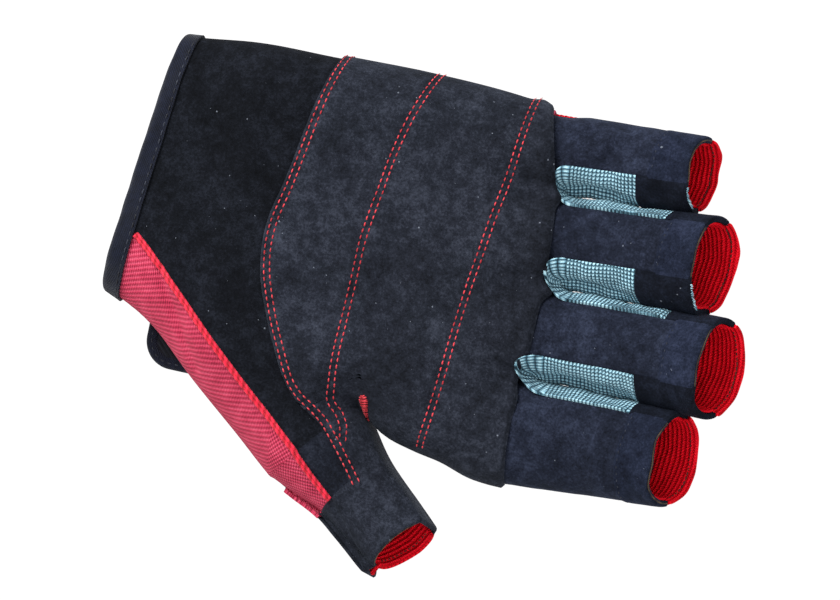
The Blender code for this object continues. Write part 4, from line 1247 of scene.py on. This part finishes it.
def makeGussetLeg(name, word):
    # one leg of a gusset on the finger's side, then its black end tab
    length = fingerLength(name)
    bend = fingerBend(name, 1.5)
    end = legEnd(name, word)
    v = np.linspace(0, 1, 60)[None]
    upper = name if word == "inner" else fingerNames[fingerNames.index(name) - 1]
    start = gussets[upper]["start"]
    s = start + (end - start) * np.linspace(0, 1, 190)[:, None] + 0 * v
    t = legAngles(name, word, v) + 0 * s
    width = legWidth(t)
    lift = gussetLift(word, s, v, end)
    outer = fingerSurface(name, s, t, lift + bead(s, v * width, 0.2))
    inner = fingerSurface(name, s, t, lift - 1.0)
    finishCloth(f"{name}Gusset{word.title()}", outer, inner, "gussetBlue",
                across=bend, stands=[f"{name}_gusset_{word}"])
    v = np.linspace(0, 1, 30)[None]
    s, _ = arcGrid(end - 0.8, length + 0.1, 0, 1, 50, 30)
    t = legAngles(name, word, v) + 0 * s
    s = s + rimWave(name, t) * ease(0.8, 1.0, s / length)
    near = quarterRound((length - s) / 1.2)
    lift = 0.3 + 0.25 * np.clip((s - end + 0.8) / 0.6, 0, 1) ** 0.5 - 0.6 * (1 - near)
    outer = fingerSurface(name, s, t, lift)
    inner = fingerSurface(name, s, t, -1.1 + 0 * s)
    finishCloth(f"{name}Tab{word.title()}", outer, inner, "suedeTab", across=bend,
                stands=[f"{name}_tab_{word}"])
    # frayed knit loops that peep out of the tab's end
    if word == "inner" and name != "middle":
        t = legAngles(name, word, np.linspace(0.1, 0.62, 90))
        path, up = fingerUp(name, length + 0.1 + rimWave(name, t), t, -0.75)
        wiggle = np.arange(90) * 0.9
        path = path + 0.3 * np.sin(wiggle)[:, None] * up
        path[:, 0] += 0.3 * np.cos(wiggle * 1.3)
        finishPiece(makeCord(f"{name}Fray", path, up, 0.13, 6), "frayBlue", across=bend)


def makeCrotch(upper, lower):
    # bent middle of a gusset: half ellipses in plan that join the two legs' ends, each
    # deeper one reaching back less, so that they make a funnel
    v = np.linspace(0, 1, 60)[None]
    angle = np.linspace(0, math.pi, 70)[:, None]
    g = gussets[upper]
    s0 = g["start"]

    def funnel(grow, texture):
        # one skin of the bent end, shrunk by grow, with or without its beads
        ends = []
        for name, word in ((upper, "inner"), (lower, "outer")):
            lift = gussetLift(word, s0 + 0 * v, v, legEnd(name, word))
            t = legAngles(name, word, v)
            width = legWidth(t)
            own = bead(s0 + 0 * v, v * width, 0.2) if texture else 0
            ends.append(fingerSurface(name, s0 + 0 * v, t, lift + own - grow))
        a, b = ends
        middle, half = 0.5 * (a + b), 0.5 * (a - b)
        point = middle + half * np.cos(angle)[..., None]
        lean = np.sin(angle) ** 0.8 * (1 - g["lean"] * np.cos(angle) * np.sin(angle))
        reach = (g["reach"] - 0.6 * grow) * (1 - 0.62 * ease(0, 0.7, v)) * lean
        roll = g["roll"] * np.exp(-((v / 0.2) ** 2)) * np.sin(angle) ** 0.5
        beads = bead(angle * 5.6, v * 12, 0.2) * np.sin(angle) ** 0.3 if texture else 0.0
        point[..., 0] -= reach + beads
        point[..., 2] += roll + beads
        return point

    outer, inner = funnel(0.0, True), funnel(1.0, False)
    name = f"{upper}{lower.title()}Crotch"
    finishCloth(name, outer, inner, "gussetBlue", body="hand",
                stands=[f"gusset_crotch_{upper}_{lower}"])


for name in fingerNames:
    makeFinger(name)
for upper, lower in zip(fingerNames[:-1], fingerNames[1:]):
    makeGussetLeg(upper, "inner")
    makeGussetLeg(lower, "outer")
    makeCrotch(upper, lower)
print("fingers and gussets made")


# ---- wrist strap and small parts
strapMake = dict(tapeWide=2.2, tapeHigh=1.05, corner=8.0, hookPitch=1.5, clothInset=1.2, seamInset=1.6)
tackMake = dict(top=(74.1, -48.7), foot=(76.1, -55.3), half=1.45)


def boxOf(node):
    # lowest and highest corner of a CAD piece, in this script's millimetres
    piece = frame["nodes"][node]
    corners = np.array([piece.matrix_world @ mathutils.Vector(c) for c in piece.bound_box])
    return corners.min(0) * 1000 + gloveShift, corners.max(0) * 1000 + gloveShift


def strapHalf(y, end, half):
    # half width of the strap: full, then a quarter circle at each corner of its free end
    inside = np.clip(strapMake["corner"] - (y - end), 0, strapMake["corner"])
    return half - strapMake["corner"] + np.sqrt(np.maximum(strapMake["corner"] ** 2 - inside**2, 0))


def plateSheet(name, low, high, rows, columns, puff=0.15):
    # flat cloth patch that fills a box, thinner and rounded at its edges
    u = spread(rows, 0.5)[:, None]
    v = spread(columns, 0.5)[None]
    x = low[0] + (high[0] - low[0]) * v + 0 * u
    y = low[1] + (high[1] - low[1]) * u + 0 * v
    inset = np.minimum(np.minimum(x - low[0], high[0] - x), np.minimum(y - low[1], high[1] - y))
    rounded = puff * (1 - quarterRound(inset / 1.2))
    weave = 0.04 * softNoise(x, y, 7, 5)
    outer = np.stack([x, y, high[2] - rounded - 0.04 + weave], -1)
    inner = np.stack([x, y, low[2] + rounded + 0.04 + weave], -1)
    return makeSheet(name, outer, inner, clothUv(outer))


def makeStrap():
    # laminated strap with its folded tape, and the end that is sewn to the back
    low, high = boxOf("strap_binding")
    middle, half = 0.5 * (low[0] + high[0]), 0.5 * (high[0] - low[0])
    end, root = low[1], high[1]
    inset = strapMake["clothInset"]
    y = end + inset + (root - end - inset) * spread(120, 0.5)[:, None]
    across = np.linspace(-1, 1, 40)[None] * (strapHalf(y, end + inset, half - inset))
    x = middle + across
    wave = 0.07 * softNoise(x, y + 0 * x, 13, 6)
    outer = np.stack([x, y + 0 * x, 1.75 + wave - 0.1], -1)
    inner = np.stack([x, y + 0 * x, 0.35 + wave], -1)
    finishCloth("closureStrap", outer, inner, "strapBlack", body="strap",
                stands=["closure_strap"])
    # tape folded over both sides and the free end: a flat oval carried along the outline
    centre = end + strapMake["corner"]
    reach = strapMake["corner"] - strapMake["tapeWide"] + 0.5
    offset = half - strapMake["corner"]
    turn = np.linspace(0, math.pi / 2, 24)
    corner = np.stack([middle + offset + reach * np.cos(turn), centre - reach * np.sin(turn)], 1)
    rightSide = np.stack([np.full(60, middle + offset + reach), np.linspace(root, centre, 60)], 1)
    rightHalf = np.vstack([rightSide[:-1], corner])
    leftHalf = rightHalf[::-1] * [-1, 1] + [2 * middle, 0]
    plan = evenly(np.vstack([rightHalf, leftHalf]), 0.6)
    path = np.column_stack([plan, np.full(len(plan), strapMake["tapeHigh"])])
    up = np.repeat([[0, 0, 1.0]], len(path), 0)
    wide, tall = strapMake["tapeWide"] - 0.5, strapMake["tapeHigh"] - 0.03

    def oval(i, angle):
        # radius of a squarish oval: the cubes of its two shares add up to one
        cubes = (np.abs(np.cos(angle)) / wide) ** 3 + (np.abs(np.sin(angle)) / tall) ** 3
        return 1 / cubes ** (1 / 3) + 0 * i

    finishPiece(makeCord("strapBinding", path, up, wide, 20, oval), "tapeNavy", body="strap",
                stands=["strap_binding"])
    seam = [(path + [0, 0, tall - 0.02], up)]
    finishPiece(makeStitches("strapStitches", seam, 2.2, 1.5, 0.16), "threadDark", body="strap")
    low, high = boxOf("strap_root")
    finishPiece(plateSheet("strapRoot", low, high, 40, 50, 0.5), "strapBlack", body="hand",
                stands=["strap_root"])
    x0, y0 = low[:2] + strapMake["seamInset"]
    x1, y1 = high[:2] - strapMake["seamInset"]
    loop = evenly(np.array([(x0, y0), (x1, y0), (x1, y1), (x0, y1), (x0, y0)]), 0.5)
    path = np.column_stack([loop, np.full(len(loop), low[2] + 0.02)])
    down = np.repeat([[0, 0, -1.0]], len(path), 0)
    seam = [(path + [0, 0, 0.05], down)]
    finishPiece(makeStitches("strapRootStitches", seam, 2.0, 1.4, 0.15), "threadDark", body="hand")


def makeHooks():
    # moulded hook tape: a thin base with rows of small bent posts
    low, high = boxOf("hook_patch")
    base = high.copy()
    base[2] = low[2] + 0.25
    finishPiece(plateSheet("hookPatch", low, base, 30, 24, 0.05), "hookBlack", body="strap",
                stands=["hook_patch"])
    x, y = np.meshgrid(np.arange(low[0] + 1, high[0] - 0.9, strapMake["hookPitch"]),
                       np.arange(low[1] + 1, high[1] - 0.9, strapMake["hookPitch"]), indexing="ij")
    t = np.linspace(0, 1, 5)
    rise = (high[2] - base[2] - 0.06) * np.sin(t * math.pi * 0.72)
    lean = 0.55 * t**2
    places = np.stack([x.ravel(), y.ravel()], 1)
    centre = np.stack([places[:, None, 0] + 0 * t, places[:, None, 1] + lean,
                       base[2] - 0.08 + rise + 0 * places[:, :1]], -1)
    size = 0.16 * np.array([1.3, 1, 0.9, 0.8, 0.5])
    angle = np.linspace(0, tau, 4, endpoint=False)
    ring = np.stack([np.cos(angle), 0.4 * np.sin(angle), 0.9 * np.sin(angle)], -1)
    points = centre[:, :, None] + size[None, :, None, None] * ring
    i, j = np.meshgrid(np.arange(4), np.arange(4), indexing="ij")
    a, b = i * 4 + j, i * 4 + (j + 1) % 4
    one = np.vstack([np.stack([a, b, b + 4, a + 4], -1).reshape(-1, 4), [[3, 2, 1, 0], [16, 17, 18, 19]]])
    faces = (one[None] + 20 * np.arange(len(places))[:, None, None]).reshape(-1, 4)
    finishPiece(makeMesh("hookPosts", points.reshape(-1, 3), faces), "hookBlack", body="strap")


def makePatchOnHand(name, node, side, high, low, look, x0, x1, y0, y1):
    # patch that follows the hand's own surface
    x = x0 + (x1 - x0) * spread(40, 0.5)[:, None]
    y = y0 + (y1 - y0) * spread(40, 0.5)[None]
    inset = np.minimum(np.minimum(x - x0, x1 - x), np.minimum(y - y0, y1 - y))
    rounded = 1 - 0.5 * (1 - np.clip(inset / 0.8, 0, 1)) ** 2
    x, y = x + 0 * y, y + 0 * x
    outer = gloveSurface(x, y, side, low + (high - low) * rounded)
    inner = gloveSurface(x, y, side, low)
    finishCloth(name, outer, inner, look, body="hand", stands=[node])


def makeTack():
    # bar tack in the thumb's crotch: threads laid side by side, narrowing to the lower end
    count = 15
    share = np.linspace(0, 1, count)
    x = tackMake["top"][0] + (tackMake["foot"][0] - tackMake["top"][0]) * share
    y = tackMake["top"][1] + (tackMake["foot"][1] - tackMake["top"][1]) * share
    blunt = np.sqrt(np.clip(1 - (1 - np.clip(share / 0.22, 0, 1)) ** 2, 0.12, 1))
    half = tackMake["half"] * blunt * (1 - 0.78 * share)
    rows = []
    for k in range(count):
        reach = np.linspace(-1, 1, 11)
        plan = np.stack([x[k] + half[k] * reach, y[k] + 0.12 * half[k] * reach + 0.1 * math.sin(k * 2.3)], 1)
        rows.append(glovePath(plan, 1, overlay["lift"] + overlay["thick"] + 0.16))
    strands = []
    for k, (path, up) in enumerate(rows):
        rise = (0.34 * np.sqrt(np.clip(1 - np.linspace(-1, 1, 11) ** 2, 0, 1)) - 0.2)[:, None] * up
        strand = makeCord(f"crotchTack{k + 1}", path + rise, up, 0.24, 8)
        strands.append(strand)
    bpy.ops.object.select_all(action="DESELECT")
    for strand in strands:
        strand.select_set(True)
    bpy.context.view_layer.objects.active = strands[0]
    bpy.ops.object.join()
    strands[0].name = "crotchTack"
    finishPiece(strands[0], "threadRed", body="hand", stands=["thumb_crotch_tack"])


makeStrap()
makeHooks()
makePatchOnHand("loopPatch", "loop_patch", -1, 1.0, 0.3, "loopBlack", 10.0, 26.0, -34.0, -12.0)
makePatchOnHand("careLabel", "care_label", -1, -1.4, -1.8, "labelWhite", 8.0, 18.0, 8.0, 27.0)
makeTack()
print("strap and small parts made")
